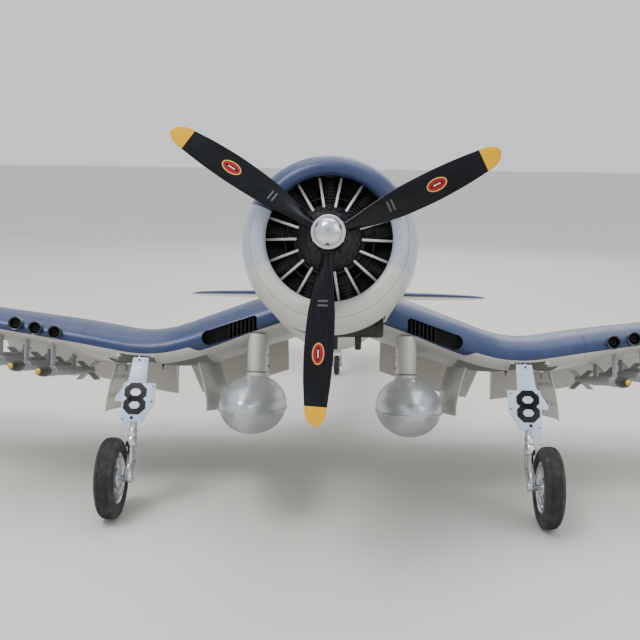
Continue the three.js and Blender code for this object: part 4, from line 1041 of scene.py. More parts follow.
# ---------------------------------------------------------------- wing
WING = Table((
    (0, 450, 935, -56, 95), (60, 450, 935, -71, 95), (100, 450, 935, -84.5, 95), (136, 450, 935, -97, 95),
    (180, 450, 935, -112.5, 94), (235, 450, 934, -131.6, 92), (275, 450, 932, -144, 87), (310, 450, 930, -151, 82),
    (340, 450, 928, -152.5, 78), (364, 450, 925, -151, 76), (400, 450, 921, -145.5, 75), (453, 450, 915, -136.5, 74),
    (600, 453, 896, -113.5, 66), (800, 462, 858, -82, 54), (960, 475, 818, -57, 45), (1040, 488, 786, -44.5, 38),
    (1090, 508, 750, -36.7, 30), (1118, 534, 716, -32.3, 20), (1130, 560, 690, -30.4, 12),
    (1135, 588, 664, -29.6, 5)))
LIFT = 0.59
INCIDENCE = 0.02
FOLD = 453.0


def wing_surface(x: float, y: float) -> tuple[float, float, float]:
    """The wing's top, bottom and half thickness at a place in plan."""
    _, lead, trail, nose, thick = WING.at(abs(x))
    s = min(max((y - lead) / (trail - lead), 0.0), 1.0)
    half = thick * naca(s) / 2
    middle = nose + thick * naca(s) * (LIFT - 0.5) - (y - lead) * INCIDENCE
    return middle + half, middle - half, half


def wing_section(x: float, steps: int = 26) -> Marked:
    """The points round the wing at a distance out, each with its signed way round from the nose in metres."""
    _, lead, trail, _, _ = WING.at(abs(x))
    sides = []
    for side in (0, 1):
        points = []
        for k in range(steps + 1):
            y = lead + (trail - lead) * (k / steps) ** 1.8
            points.append(Vector((x, y, wing_surface(x, y)[side])))
        way = [0.0]
        for first, second in zip(points, points[1:]):
            way.append(way[-1] + (second - first).length / 1000)
        sides.append(list(zip(points, way if side == 0 else [-value for value in way])))
    return sides[0][::-1] + sides[1][1:]


def wing_skin(stations: Sequence[float]) -> Piece:
    """A closed piece of wing through a row of distances out, mapped along the span and round from the nose."""
    rows = [wing_section(x) for x in stations]

    def mark(row: int, column: int) -> tuple[float, float]:
        """The place along the span and round from the nose."""
        return stations[row] / 1000, rows[row][column % len(rows[row])][1]

    return skin([[point for point, _ in row] for row in rows], mark)


@dataclass(frozen=True)
class Surface:
    """One hinged trailing surface of the wing, and its place along the span."""

    name: str
    inner: float
    outer: float
    inner_y: float
    outer_y: float
    inner_tip: float
    outer_tip: float
    down: float

    def hinge(self, outboard: bool) -> tuple[Vector, float]:
        """The hinge's point at one end, and the wing's half thickness there."""
        x, y = (self.outer, self.outer_y) if outboard else (self.inner, self.inner_y)
        top, bottom, half = wing_surface(x, y)
        return Vector((x, y, (top + bottom) / 2)), half

    def line(self) -> tuple[Vector, Vector, float, float]:
        """Both hinge points and both half thicknesses."""
        (start, low), (end, high) = self.hinge(False), self.hinge(True)
        return start, end, low, high

    def cutter(self) -> Piece:
        """The bay that is cut out of the wing for the surface."""
        start, end, low, high = self.line()
        along = (end - start).normalized()
        normal = along.cross(THRUST)
        rings = []
        for point, half in ((start - along * 1.2, low), (end + along * 1.2, high)):
            radius = half - 0.1
            lip = math.radians(212) if self.down else math.radians(266)
            arc = spaced(lip, math.radians(93), 12)
            outline = [(radius * math.cos(math.radians(93)), 60), (190, 60), (190, -60),
                    (radius * math.cos(lip), -60)]
            outline += [(radius * math.cos(turn), radius * math.sin(turn)) for turn in arc]
            rings.append([point + THRUST * y + normal * z for y, z in outline])
        return skin(rings)

    def piece(self) -> Piece:
        """The surface itself, with its round nose, turned down by its rest angle."""
        start, end, low, high = self.line()
        along = (end - start).normalized()
        normal = along.cross(THRUST)
        upright = normal.z
        rows = []
        stations = spaced(0.0, 1.0, 15)
        for t in stations:
            point = start.lerp(end, t)
            radius = low + (high - low) * t - 2.2
            trail = WING.at(point.x)[2]
            shift = (self.inner_tip - self.inner) * (1 - t) + (self.outer_tip - self.outer) * t

            def at(y: float, side: int) -> Vector:
                """A point of the surface's skin, square to the hinge."""
                share = (y - point.y) / (trail - point.y)
                offset = (wing_surface(point.x, y)[side] - point.z) * upright
                return point + along * shift * share + THRUST * (y - point.y) + normal * offset

            nose = [point + THRUST * radius * math.cos(turn) + normal * radius * math.sin(turn)
                    for turn in spaced(math.radians(92), math.radians(268), 13)]
            ys = [point.y + 6 + (trail - point.y - 6) * k / 10 for k in range(11)]
            lower = [at(y, 1) for y in ys]
            upper = [at(y, 0) for y in reversed(ys)]
            rows.append(([*nose, *lower, *upper], len(nose)))

        def mark(row: int, column: int) -> tuple[float, float]:
            """The place along the span; the top, with the nose's upper half, is positive."""
            ring, nose_count = rows[row]
            column = column % len(ring)
            top = column <= nose_count // 2 or column >= nose_count + 11
            return start.lerp(end, stations[row]).x / 1000, 0.03 if top else -0.03

        piece = skin([ring for ring, _ in rows], mark)
        return moved(piece, about(start, along, -self.down))


CENTRE_SURFACES = (Surface("flap_inner", 104, 320, 822, 822, 130, 322, 50),
        Surface("flap_mid", 343, 445, 820, 813, 341, 445, 50))
PANEL_SURFACES = (Surface("flap_outer", 458, 715, 812, 795, 458, 715, 50),
        Surface("aileron", 721, 1084, 794, 706, 721, 1084, 0))


@dataclass
class Wing:
    """The inverted gull wing: centre section, outer panels and their hinged surfaces."""

    well_inner: float = 230.0
    well_outer: float = 413.0
    well_front: float = 486.0
    well_rear: float = 774.5
    well_floor: float = -260.0
    roof_wall: float = 3.0
    channel: tuple[float, float, float, float] = (321, 391, 455.5, -140)
    intake_inner: float = 136.0
    intake_outer: float = 235.0
    intake_half: float = 13.5
    intake_rear: float = 484.0
    guns: tuple[tuple[float, float], ...] = ((501, -122.5), (537, -115.6), (573, -107.5))

    def well(self) -> Piece:
        """The wheel well's cutter, with its roof just under the wing's top skin."""
        rings = []
        for x in spaced(self.well_inner, self.well_outer, 15):
            roof = [Vector((x, y, wing_surface(x, y)[0] - self.roof_wall))
                    for y in spaced(self.well_front, self.well_rear, 12)]
            rings.append([*roof, Vector((x, self.well_rear, self.well_floor)),
                    Vector((x, self.well_front, self.well_floor))])
        return skin(rings)

    def intake_line(self, x: float) -> float:
        """The middle height of the intake slot."""
        inner, outer = WING.at(self.intake_inner)[3], WING.at(self.intake_outer)[3]
        return inner + (x - self.intake_inner) * (outer - inner) / (self.intake_outer - self.intake_inner)

    def intake_outline(self, grow: float) -> list[tuple[float, float]]:
        """The slot's outline from the front: square at the body and round at its outer end."""
        half = self.intake_half + grow
        turn = self.intake_outer - self.intake_half
        inner = self.intake_inner - grow
        points = [(inner + 5, self.intake_line(inner + 5) + half), (inner, self.intake_line(inner) + half - 5),
                (inner, self.intake_line(inner) - half)]
        middle = self.intake_line(turn)
        points += [(turn + half * math.cos(a), middle + half * math.sin(a))
                for a in spaced(-math.pi / 2, math.pi / 2, 13)]
        return points

    def build(self, shop: Workshop) -> None:
        """Makes the wing and everything that is fixed to it."""
        self.build_centre(shop)
        self.build_panels(shop)
        for surface in (*CENTRE_SURFACES, *PANEL_SURFACES):
            grey_flap = surface.down > 0
            shop.deliver_pair(surface.piece(), f"{surface.name} {{side}} skin", surface.name + "_{side}_body",
                    "pale_grey" if grey_flap else "navy_blue", Paint.FLAP, replaces=[surface.name + "_{side}"],
                    smooth=38)
            self.build_horn(shop, surface)

    def build_centre(self, shop: Workshop) -> None:
        """Makes the centre section with its wells and intake slots."""
        piece = wing_skin(spaced(-FOLD + 0.2, FOLD - 0.2, 101))
        left, right, front, roof = self.channel
        tools = [self.well(), block((left, front, self.well_floor), (right, self.well_front + 2, roof), 0),
                plate(self.intake_outline(0), 420, self.intake_rear, 0)]
        tools += [surface.cutter() for surface in CENTRE_SURFACES]
        tools += [copied(tool, STARBOARD) for tool in tools]
        cut(piece, *tools)

        def inner_face(centre: Vector, _: Vector) -> int:
            """2 for a face inside an intake slot, 1 inside a well, otherwise 0."""
            top, bottom, _half = wing_surface(centre.x, centre.y)
            deep = min(abs(centre.z - top), abs(centre.z - bottom))
            out = abs(centre.x)
            in_slot = 135 < out < 236 and WING.at(out)[1] + 8 < centre.y < self.intake_rear + 1
            if not (in_slot and deep > 2.5) and not (out < 451 and 456 < centre.y < 790 and deep > 1.2):
                return 0
            return 2 if centre.y < self.intake_rear + 1 and out < 240 else 1

        # Faces inside the intake slots take the near-black third paint, painted shade in the slots; the wells take
        # primer.
        second_paint(piece, inner_face)
        shop.deliver(piece, "wing centre skin", "airframe", "navy_blue", Paint.WING, Paint.WELL, Paint.DARK,
                replaces=["wing_centre_section"], smooth=34)
        vanes = []
        for k in range(7):
            x = self.intake_inner + 6 + k * 7.2
            z = self.intake_line(x)
            vanes.append(block((x, 455, z - 15), (x + 1.4, 484, z + 15), 0.3))
        grille = [rod((190 + 7 * k, 470, self.intake_line(190 + 7 * k) - 14),
                (190 + 7 * k, 470, self.intake_line(190 + 7 * k) + 14), 0.6, sides=8, edge=0) for k in range(6)]
        shop.deliver_pair(united(*vanes, *grille), "intake vanes {side}", "airframe", "engine_black", Paint.RADIAL)
        rims = []
        for grow, depth in ((0.2, 0.0), (1.5, 0.0), (1.5, 3.5), (0.2, 3.5)):
            ring = []
            for x, z in self.intake_outline(grow):
                y = self.nose_y(x, z) - 0.7 + depth
                ring.append(Vector((x, y, z)))
            rims.append(ring)
        rim = skin([[ring[k] for ring in rims] for k in range(len(rims[0]))] + [[ring[0] for ring in rims]])
        shop.deliver_pair(rim, "intake rim {side}", "airframe", "navy_blue", Paint.BLUE)
        self.build_well_details(shop)

    def nose_y(self, x: float, z: float) -> float:
        """The wing's front face at a height: where its skin first reaches z."""
        lead = WING.at(abs(x))[1]
        for k in range(60):
            y = lead + 0.5 * k
            top, bottom, _half = wing_surface(x, y)
            if bottom <= z <= top:
                return y
        return lead + 30

    def build_well_details(self, shop: Workshop) -> None:
        """Makes the ribs, bearing blocks and retract unit inside each well."""
        ribs = []
        for y in (560, 640, 720):
            for x in (245, 300, 355, 400):
                roof = min(wing_surface(x + side, y)[0] for side in (-7, 7)) - self.roof_wall
                ribs.append(block((x - 7, y - 1, roof - 2.4), (x + 7, y + 1, roof + 0.5), 0.4))
        bearings = [block((x - 4, 457, -164), (x + 4, 478, -140), 1.0) for x in (325, 388)]
        unit = [rod((276, 498, -142), (318, 492, -142), 6, 5, 20, 1.0), block((266, 492, -152), (284, 512, -132), 2)]
        shop.deliver_pair(united(*ribs, *unit), "well fittings {side}", "airframe", "pale_grey", Paint.WELL)
        shop.deliver_pair(united(*bearings), "trunnion blocks {side}", "airframe", "bright_alloy", Paint.ALLOY)

    def build_panels(self, shop: Workshop) -> None:
        """Makes the outer panels with their gun ports."""
        stations = spaced(FOLD + 0.2, 1040, 46) + spaced(1052, 1112, 9) + [1118, 1123, 1127, 1130, 1132.5, 1134.2,
                1135]
        piece = wing_skin(stations)
        cut(piece, *[surface.cutter() for surface in PANEL_SURFACES])
        bores = [rod((x, 430, z), (x, 462, z), 11.2, sides=32, edge=0) for x, z in self.guns]
        cut(piece, *bores)
        shop.deliver_pair(piece, "outer wing skin {side}", "airframe", "navy_blue", Paint.PANEL,
                replaces=["wing_panel_{side}"], smooth=34)
        ports, cores = [], []
        for x, z in self.guns:
            ports.append(turned([(9.2, 444), (10.2, 442), (11.8, 441.4), (12.7, 442.6), (12.7, 449), (11.4, 462),
                    (9.2, 462)], 48, ring=True, centre=(x, 0, z)))
            cores.append(turned([(4.2, 449), (5.2, 448), (6.0, 449), (6.0, 455), (10.8, 457), (10.8, 461),
                    (0.3, 461), (0.3, 456), (4.2, 456)], 32, ring=True, centre=(x, 0, z)))
        shop.deliver_pair(united(*ports), "gun port rims {side}", "airframe", "engine_black", Paint.GUN_RIM)
        # The cores' muzzles are black, and their back discs are painted shade closing the gun bores.
        shop.deliver_pair(united(*cores), "gun port cores {side}", "airframe", "engine_black", Paint.DARK)

    def build_horn(self, shop: Workshop, surface: Surface) -> None:
        """Makes a control horn with its cross pin on a surface."""
        start, end, *_ = surface.line()
        along = (end - start).normalized()
        foot = start.lerp(end, 0.3)
        under = wing_surface(foot.x, foot.y + 14)[1]
        horn = united(block((foot.x - 0.9, foot.y + 6, under - 15), (foot.x + 0.9, foot.y + 20, under + 1.5), 0.4),
                rod((foot.x - 2.6, foot.y + 10, under - 12), (foot.x + 2.6, foot.y + 10, under - 12), 1.6, sides=16))
        moved(horn, about(start, along, -surface.down))
        shop.deliver_pair(horn, surface.name + " {side} horn", surface.name + "_{side}_body", "engine_black",
                Paint.SCREW)


# ---------------------------------------------------------------- fuselage and tail
BODY = Table((
    (236, 121, 124, -131), (300, 123, 127, -137), (460, 123, 129, -143), (640, 119, 133, -143), (790, 112, 137, -138),
    (845, 109, 139, -134), (960, 101, 150, -123), (1090, 88, 152, -106), (1200, 77, 144, -90), (1330, 63, 126, -70),
    (1450, 49, 104, -51), (1560, 36, 80, -33), (1652, 26, 62, -16), (1740, 15, 52, 14), (1790, 8, 46, 30),
    (1804, 3, 42, 35)))
FIN = Table(((30, 1420, 1768, 27), (100, 1472, 1772, 24), (160, 1516, 1770, 21), (220, 1560, 1758, 17),
        (262, 1592, 1738, 13), (286, 1618, 1716, 8), (298, 1650, 1686, 3)))
TAILPLANE = Table(((10, 1522, 1792, 25), (60, 1534, 1792, 24), (200, 1558, 1787, 20), (330, 1584, 1775, 16),
        (400, 1604, 1756, 12), (432, 1624, 1734, 8), (450, 1650, 1702, 3)))
WAIST = -5.0


def body_ring(y: float, shrink: float = 0.0, sides: int = 72) -> Ring:
    """The fuselage's egg-shaped section at a distance aft."""
    _, width, top, bottom = BODY.at(y)
    waist = min(max(WAIST, bottom + (top - bottom) * 0.45), top)
    power = min(max(2 - (y - 560) * 0.0012, 1.6), 2.0)
    points = []
    for k in range(sides):
        angle = k / sides * 2 * math.pi
        upper = math.sin(angle) > 0
        shape = 2 / (power if upper else 2)
        across = math.copysign(abs(math.cos(angle)) ** shape, math.cos(angle))
        reach = top - waist if upper else bottom - waist
        height = reach - math.copysign(shrink, reach)
        points.append(Vector((across * (width - shrink), y, waist + abs(math.sin(angle)) ** shape * height)))
    return points


@dataclass(frozen=True)
class TailSurface:
    """A tail surface with a fixed front and a hinged rear, both read from one table."""

    table: Table
    hinge_y: float
    upright: bool
    root: float = 42.0
    inset: float = 0.8
    steps: int = 16

    def place(self, key: float, y: float, side: float) -> Vector:
        """A point of the surface: key runs along its span and side across its thickness."""
        return Vector((side, y, key)) if self.upright else Vector((key, y, self.root + side))

    def half(self, key: float, y: float) -> float:
        """The half thickness at a place."""
        _, lead, trail, thick = self.table.at(key)
        return max(thick * naca(min(max((y - lead) / (trail - lead), 0), 1)) / 2, 0.6)

    def fixed_ring(self, key: float) -> Marked:
        """The section in front of the hinge, with a hollow for the moving part's nose."""
        lead, trail = self.table.at(key)[1:3]
        radius = self.half(key, self.hinge_y) + 0.6
        last = min(self.hinge_y - 0.17 * radius - 0.3, trail - 1)
        ys = [lead + (last - lead) * (k / self.steps) ** 1.7 for k in range(self.steps + 1)]
        upper = [(self.place(key, y, self.half(key, y)), (y - lead) / 1000) for y in reversed(ys)]
        lower = [(self.place(key, y, -self.half(key, y)), (lead - y) / 1000 - 0.0001) for y in ys[1:]]
        arc = [(self.place(key, min(self.hinge_y + radius * math.cos(a), last), radius * math.sin(a)),
                math.copysign(0.06, math.sin(a))) for a in spaced(math.radians(255), math.radians(105), 7)]
        return upper + lower + arc

    def moving_ring(self, key: float) -> Marked:
        """The section behind the hinge, with its round nose."""
        trail = self.table.at(key)[2]
        radius = self.half(key, self.hinge_y) - self.inset
        nose = [(self.place(key, self.hinge_y + radius * math.cos(a), radius * math.sin(a)),
                math.copysign(0.06, math.sin(a))) for a in spaced(math.radians(92), math.radians(268), 11)]
        ys = [self.hinge_y + 3 + (trail - self.hinge_y - 3) * k / 10 for k in range(11)]
        lower = [(self.place(key, y, -self.half(key, y)), -0.06) for y in ys]
        upper = [(self.place(key, y, self.half(key, y)), 0.06) for y in reversed(ys)]
        return nose + lower + upper

    def skin(self, keys: Sequence[float], ring: Callable[[float], Marked]) -> Piece:
        """A closed piece through a row of stations."""
        rows = [ring(key) for key in keys]

        def mark(row: int, column: int) -> tuple[float, float]:
            """The place along the span, and above or below."""
            return keys[row] / 1000, rows[row][column % len(rows[row])][1]

        return skin([[point for point, _ in row] for row in rows], mark)


@dataclass
class Fuselage:
    """The moulded body with its fin, cockpit opening and tail bay."""

    wall: float = 2.4
    sill: float = 98.0
    front: float = 236.0
    cockpit: tuple[float, float] = (846.0, 1090.0)
    rudder_low: float = 81.0
    rudder_high: float = 284.0
    fin: TailSurface = TailSurface(FIN, 1652.0, True)
    tailplane: TailSurface = TailSurface(TAILPLANE, 1690.0, False)

    def build(self, shop: Workshop) -> None:
        """Makes the body, fin, rudder, tailplane and elevators."""
        stations = spaced(self.front, 1780, 92) + [1790, 1797, 1802, 1804]
        shell = skin([body_ring(y) for y in stations])
        hollow = skin([body_ring(max(y, self.front), self.wall) if y >= self.front
                else [Vector((p.x, y, p.z)) for p in body_ring(self.front, self.wall)]
                for y in [210, *spaced(236, 1590, 50)]])
        rails = [block((side * 58 - 4.5, 1085, self.sill - 0.4), (side * 58 + 4.5, 1250, 220), 0) for side in (-1, 1)]
        cut(shell, hollow, block((-90, self.cockpit[0], self.sill), (90, self.cockpit[1], 220), 0),
                block((-17, 1462, -120), (17, 1552, -8), 0), *rails)
        # Inward faces of the body take the near-black second paint: painted shade inside the fuselage.
        second_paint(shell, lambda centre, normal: centre.y > 238 and normal.dot(Vector((centre.x, 0, centre.z
                - WAIST))) < -0.1)
        shop.deliver(shell, "fuselage skin", "airframe", "hull_paint", Paint.HULL, Paint.DARK, replaces=["fuselage"],
                smooth=34)
        base = self.fin.skin(spaced(30, self.rudder_low - 1.2, 6), self.whole_fin)
        main_fin = self.fin.skin(spaced(self.rudder_low - 1.2, self.rudder_high + 1.2, 30), self.fin.fixed_ring)
        cap = self.fin.skin([self.rudder_high + 1.2, 288, 291, 294, 296.5, 298], self.whole_fin)
        shop.deliver(united(base, main_fin, cap), "fin", "airframe", "hull_paint", Paint.FIN)
        rudder = self.fin.skin(spaced(self.rudder_low, self.rudder_high, 30), self.fin.moving_ring)
        shop.deliver(rudder, "rudder skin", "rudder_body", "hull_paint", Paint.FIN, replaces=["rudder"])
        half = self.tailplane.skin(spaced(10, 426, 40) + [432, 437, 441, 445, 448, 450], self.tailplane_ring)
        shop.deliver_pair(half, "tailplane {side}", "airframe", "navy_blue", Paint.TAIL,
                replaces=["stabilizer_{side}"])
        elevator = self.tailplane.skin(spaced(27, 426, 34), self.tailplane.moving_ring)
        shop.deliver_pair(elevator, "elevator {side} skin", "elevator_{side}_body", "navy_blue", Paint.TAIL,
                replaces=["elevator_{side}"])
        self.build_fittings(shop)

    def whole_fin(self, key: float) -> Marked:
        """The fin's section from front to back, unbroken."""
        _, lead, trail, _ = self.fin.table.at(key)
        ys = [lead + (trail - lead) * (k / 20) ** 1.6 for k in range(21)]
        return ([(self.fin.place(key, y, self.fin.half(key, y)), 0.1) for y in reversed(ys)]
                + [(self.fin.place(key, y, -self.fin.half(key, y)), 0.1) for y in ys[1:]])

    def tailplane_ring(self, key: float) -> Marked:
        """The tailplane's fixed section: hinged along the elevator, and whole outboard of it."""
        ring = self.tailplane.fixed_ring(key)
        if key <= 427:
            return ring
        _, lead, trail, _ = self.tailplane.table.at(key)
        steps = self.tailplane.steps
        ys = [lead + (trail - lead) * (k / steps) ** 1.4 for k in range(steps + 1)]
        place, half = self.tailplane.place, self.tailplane.half
        upper = [(place(key, y, half(key, y)), (y - lead) / 1000) for y in reversed(ys)]
        lower = [(place(key, y, -half(key, y)), (lead - y) / 1000 - 0.0001) for y in ys[1:]]
        end = [(place(key, trail, z), -0.05) for z in spaced(-0.5, 0.5, 7)]
        return upper + lower + end

    def build_fittings(self, shop: Workshop) -> None:
        """Makes the aerial mast, tail bay doors and body hatch screws."""
        mast = rod((0, 806, 134), (0, 800, 186), 3.2, 1.6, 20, 0.4)
        shop.deliver(mast, "aerial mast", "airframe", "navy_blue", Paint.BLUE)
        doors = []
        for side in (-1, 1):
            rings = []
            for y in spaced(1466, 1548, 8):
                edge = body_ring(y)
                z = min(point.z for point in edge)
                rings.append([Vector((side * (17.5 + out), y, z + 3 - down)) for out,
                        down in ((0, 0), (1.4, 0), (5.4, 26), (4.0, 26))])
            doors.append(skin(rings))
        shop.deliver(soften(united(*doors), 0.3), "tail bay doors", "airframe", "pale_grey", Paint.GREY)
        screws = []
        for y in (262, 330, 400):
            ring = body_ring(y)
            screws += [rod(tuple(ring[k] * 1.0), tuple(ring[k] + Vector((0.9 if ring[k].x > 0 else -0.9, 0, 0))),
                    1.8, sides=12, edge=0.3) for k in (2, 34, 70, 38)]
        shop.deliver(united(*screws), "body screws", "airframe", "engine_black", Paint.SCREW)


# ---------------------------------------------------------------- landing gear
@dataclass
class MainGear:
    """One main leg: strut, numbered door plates, turning collar, oleo, wheel and wheel doors."""

    trunnion: Vector = field(default_factory=lambda: Vector((348.0, 467.0, -152.0)))
    axle: Vector = field(default_factory=lambda: Vector((376.5, 392.005, -374.903)))
    strut_end: float = -162.0
    strut_radius: float = 6.4
    piston_radius: float = 5.4
    number_width: float = 40.0
    number_height: float = 34.5
    number_stroke: float = 10.6
    door_rear: float = 772.5
    door_front: float = 488.0

    @property
    def length(self) -> float:
        """From the trunnion to the axle."""
        return math.hypot(self.axle.y - self.trunnion.y, self.axle.z - self.trunnion.z)

    @property
    def stance(self) -> Matrix:
        """Turns a leg that is drawn hanging from zero to its place on the aircraft."""
        rake = math.atan2(self.trunnion.y - self.axle.y, self.trunnion.z - self.axle.z)
        return Matrix.Translation(self.trunnion) @ Matrix.Rotation(-rake, 4, "X")

    def build(self, shop: Workshop) -> None:
        """Makes both main legs and all four wheel doors."""
        self.build_strut(shop)
        self.build_plates(shop)
        self.build_oleo(shop)
        self.build_wheel(shop)
        for name, hinge, free, angle in (("wheel_door_inner", 231.5, 320.5, 90),
                ("wheel_door_outer", 411.5, 322.5, -94)):
            self.build_door(shop, name, hinge, free, angle)

    def hang(self, shop: Workshop, piece: Piece, name: str, body: str, slot: str, *paints: Paint,
            replaces: Sequence[str] = ()) -> None:
        """Puts a piece of the hanging leg in its stance and delivers both sides."""
        shop.deliver_pair(moved(piece, self.stance), name, body, slot, *paints, replaces=replaces)

    def build_strut(self, shop: Workshop) -> None:
        """Makes the upper leg with its trunnion, clamps and gland."""
        end, radius = self.strut_end, self.strut_radius
        tube = rod((0, 0, 5), (0, 0, end + 12), radius, sides=40)
        knuckle = rod((-10, 0, 0), (10, 0, 0), 8, sides=40, edge=1)
        pin = rod((-30, 3, -1.5), (30, -3, 1.5), 4, sides=32, edge=0.6)
        gland = rod((0, 0, end + 15), (0, 0, end), 8, sides=40, edge=1.2)
        grooves = [rod((0, 0, end + z), (0, 0, end + z - 1.2), 8.4, sides=40, edge=0.3) for z in (12.5, 4.2)]
        clamps, screws = [], []
        for z in (-34, -84, -128):
            clamps.append(rod((0, 0, z + 4), (0, 0, z - 4), radius + 1.6, sides=40, edge=0.6))
            clamps.append(block((-5, -8.4, z - 3.6), (5, 0, z + 3.6), 0.7))
            screws += [rod((x, 6, z), (x, -9, z), 1.1, sides=12, edge=0.2) for x in (-8.6, 8.6)]
            clamps.append(block((-11, -1.6, z - 3), (11, 1.6, z + 3), 0.5))
        arm = block((-3, 4, -22), (3, 16, -12), 1.2)
        self.hang(shop, united(tube, knuckle, pin, gland, *grooves, *clamps, arm), "strut {side} leg", "leg_{side}",
                "bright_alloy", Paint.ALLOY, replaces=["strut_{side}"])
        self.hang(shop, united(*screws), "strut {side} screws", "leg_{side}", "steel", Paint.STEEL)

    def octagon(self, middle: float, front: float, rear: float) -> Piece:
        """One half of the figure eight: an eight-sided frame."""
        rings = []
        width, height, stroke = self.number_width / 2, self.number_height / 2, self.number_stroke
        for k in range(9):
            corners = []
            for inset in (0.0, stroke):
                w, h = width - inset, height - inset
                c = 11.0 - inset * 0.586
                points = [(c - w, h), (w - c, h), (w, h - c), (w, c - h), (w - c, -h), (c - w, -h), (-w, c - h),
                        (-w, h - c)]
                corners.append(points[k % 8])
            (ox, oz), (ix, iz) = corners
            rings.append([Vector((ox - 1, front, oz + middle)), Vector((ox - 1, rear, oz + middle)),
                    Vector((ix - 1, rear, iz + middle)), Vector((ix - 1, front, iz + middle))])
        return skin(rings)

    def build_plates(self, shop: Workshop) -> None:
        """Makes the two door plates on the front of the leg, the number and the screws."""
        upper = plate([(-18, -17), (10, -17), (15, -60), (35, -92), (35, -100), (-18, -100)], -10.2, -8.6, 0.4)
        lower = plate([(-36, -66), (22, -66), (22, -140), (19, -150), (8, -150), (8, -138), (-18, -138),
                (-36, -104)], -12.2, -10.3, 0.4)
        beads = [block((-14, -10.7, z), (6, -10.0, z + 2.2), 0.3) for z in (-26, -58)]
        self.hang(shop, united(upper, lower, *beads), "strut {side} door plates", "leg_{side}", "door_blue",
                Paint.DOOR, replaces=["strut_door_{side}"])
        step = (self.number_height - self.number_stroke) / 2
        eight = united(self.octagon(-95 + step, -12.55, -12.0), self.octagon(-95 - step, -12.55, -12.0))
        self.hang(shop, eight, "door {side} number", "leg_{side}", "engine_black", Paint.SCREW)
        screws = [rod((x, -9.5, z), (x, -13.4, z), r, sides=20, edge=0.4) for x, z,
                r in ((2, -130, 2.9), (-2, -22, 1.6), (-31, -72, 1.3), (17, -72, 1.3), (-31, -100, 1.3),
                (17, -133, 1.3))]
        self.hang(shop, united(*screws), "door {side} screws", "leg_{side}", "engine_black", Paint.SCREW)

    def build_oleo(self, shop: Workshop) -> None:
        """Makes the turning collar, sliding piston, axle and torque link."""
        end, length = self.strut_end, self.length
        ring = rod((0, 0, end - 0.6), (0, 0, end - 17), 9.6, sides=48, edge=1.2)
        ear = block((-4, 6, end - 15), (4, 17, end - 4), 1.2)
        knee = Vector((0, 31, -197.0))
        upper = [self.link((x, 13, end - 10), (x * 0.5, knee.y, knee.z)) for x in (-5.6, 5.6)]
        self.hang(shop, united(ring, ear, *upper), "turning collar {side}", "twist_{side}", "bright_alloy",
                Paint.ALLOY, replaces=["twist_collar_{side}"])
        rod_piece = rod((0, 0, -118), (0, 0, 4 - length), self.piston_radius, sides=40)
        boot = rod((0, 0, 24 - length), (0, 0, -5 - length), 7.4, sides=40, edge=1.4)
        offset = self.axle.x - self.trunnion.x
        axle = rod((-6, 0, -length), (offset + 12, 0, -length), 4, sides=32, edge=0.5)
        nut = rod((offset + 14.2, 0, -length), (offset + 19, 0, -length), 5.6, sides=6, edge=0.5)
        shoulder = rod((-8, 0, -length), (8, 0, -length), 7.2, sides=32, edge=1)
        low_ear = block((-3.6, 3, 10 - length), (3.6, 13, 20 - length), 1)
        lower = [self.link((x, 9, 15 - length), (x * 0.5, knee.y, knee.z)) for x in (-4.6, 4.6)]
        pin = rod((-5, knee.y, knee.z), (5, knee.y, knee.z), 2.2, sides=20)
        self.hang(shop, united(rod_piece, boot, axle, nut, shoulder, low_ear, *lower, pin), "oleo {side} piston",
                "oleo_{side}_body", "steel", Paint.STEEL, replaces=["piston_{side}"])

    @staticmethod
    def link(start: Point, end: Point) -> Piece:
        """One tapering arm of the torque link."""
        arm = rod(start, end, 3.2, 2.0, 16, 0.5)
        return moved(arm, Matrix.Translation(Vector((start[0], 0, 0))) @ Matrix.Diagonal((0.55, 1, 1, 1))
                @ Matrix.Translation(Vector((-start[0], 0, 0))))

    def across(self, piece: Piece, centre: Vector) -> Piece:
        """Turns a piece that was turned about the thrust line to lie on an axle."""
        return moved(piece, Matrix.Translation(centre) @ Matrix.Rotation(-math.pi / 2, 4, "Z"))

    @staticmethod
    def crown(x: float) -> float:
        """The tyre's radius across its round tread."""
        return 53 + 17 * max(1 - (abs(x) / 17) ** 2.6, 0) ** (1 / 2.4)

    def build_wheel(self, shop: Workshop) -> None:
        """Makes the grooved tyre and the alloy hub."""
        wall = [(43, -11), (44.5, -13.6), (47, -15.8), (50, -16.8)]
        wall += [(self.crown(x), x) for x in (-17, -16.8, -16.4, -15.8, -15, -14, -12.8, -11.6, -10.6)]
        tread = []
        for k in range(6):
            x = -8.5 + 3.4 * k
            crown = self.crown(x)
            tread += [(crown, x - 1.0), (crown - 1.2, x - 0.7), (crown - 1.2, x + 0.7), (crown, x + 1.0)]
        other = [(radius, -x) for radius, x in reversed(wall)]
        tyre = turned([*wall, *tread, *other], 128, ring=True)
        shop.deliver_pair(self.across(tyre, self.axle), "main tyre {side} rubber", "main_wheel_{side}",
                "tyre_rubber", Paint.RUBBER, replaces=["main_tyre_{side}"], smooth=50)
        rim = turned([(38.5, -11.4), (42.4, -13.6), (44, -13.2), (43.8, -12), (42.7, -9.5), (42.7, 9.5), (43.8, 12),
                (44, 13.2), (42.4, 13.6), (38.5, 11.4), (37.6, 8), (37.6, -8)], 96, ring=True)
        disc = turned([(4.3, -11.5), (9.5, -11.5), (11, -10.4), (12.4, -6.4), (30, -4), (37.9, -5.6), (37.9, 5.6),
                (30, 4), (12.4, 6.4), (11, 10.4), (9.5, 11.5), (4.3, 11.5)], 64, ring=True)
        holes = [rod((math.cos(a) * 25, -20, math.sin(a) * 25), (math.cos(a) * 25, 20, math.sin(a) * 25), 6.4,
                sides=28, edge=0) for a in spaced(0, 2 * math.pi * 5 / 6, 6)]
        cut(disc, *holes)
        drum = turned([(5, -13), (16, -13), (17, -12), (17, -6), (5, -6)], 48, ring=True)
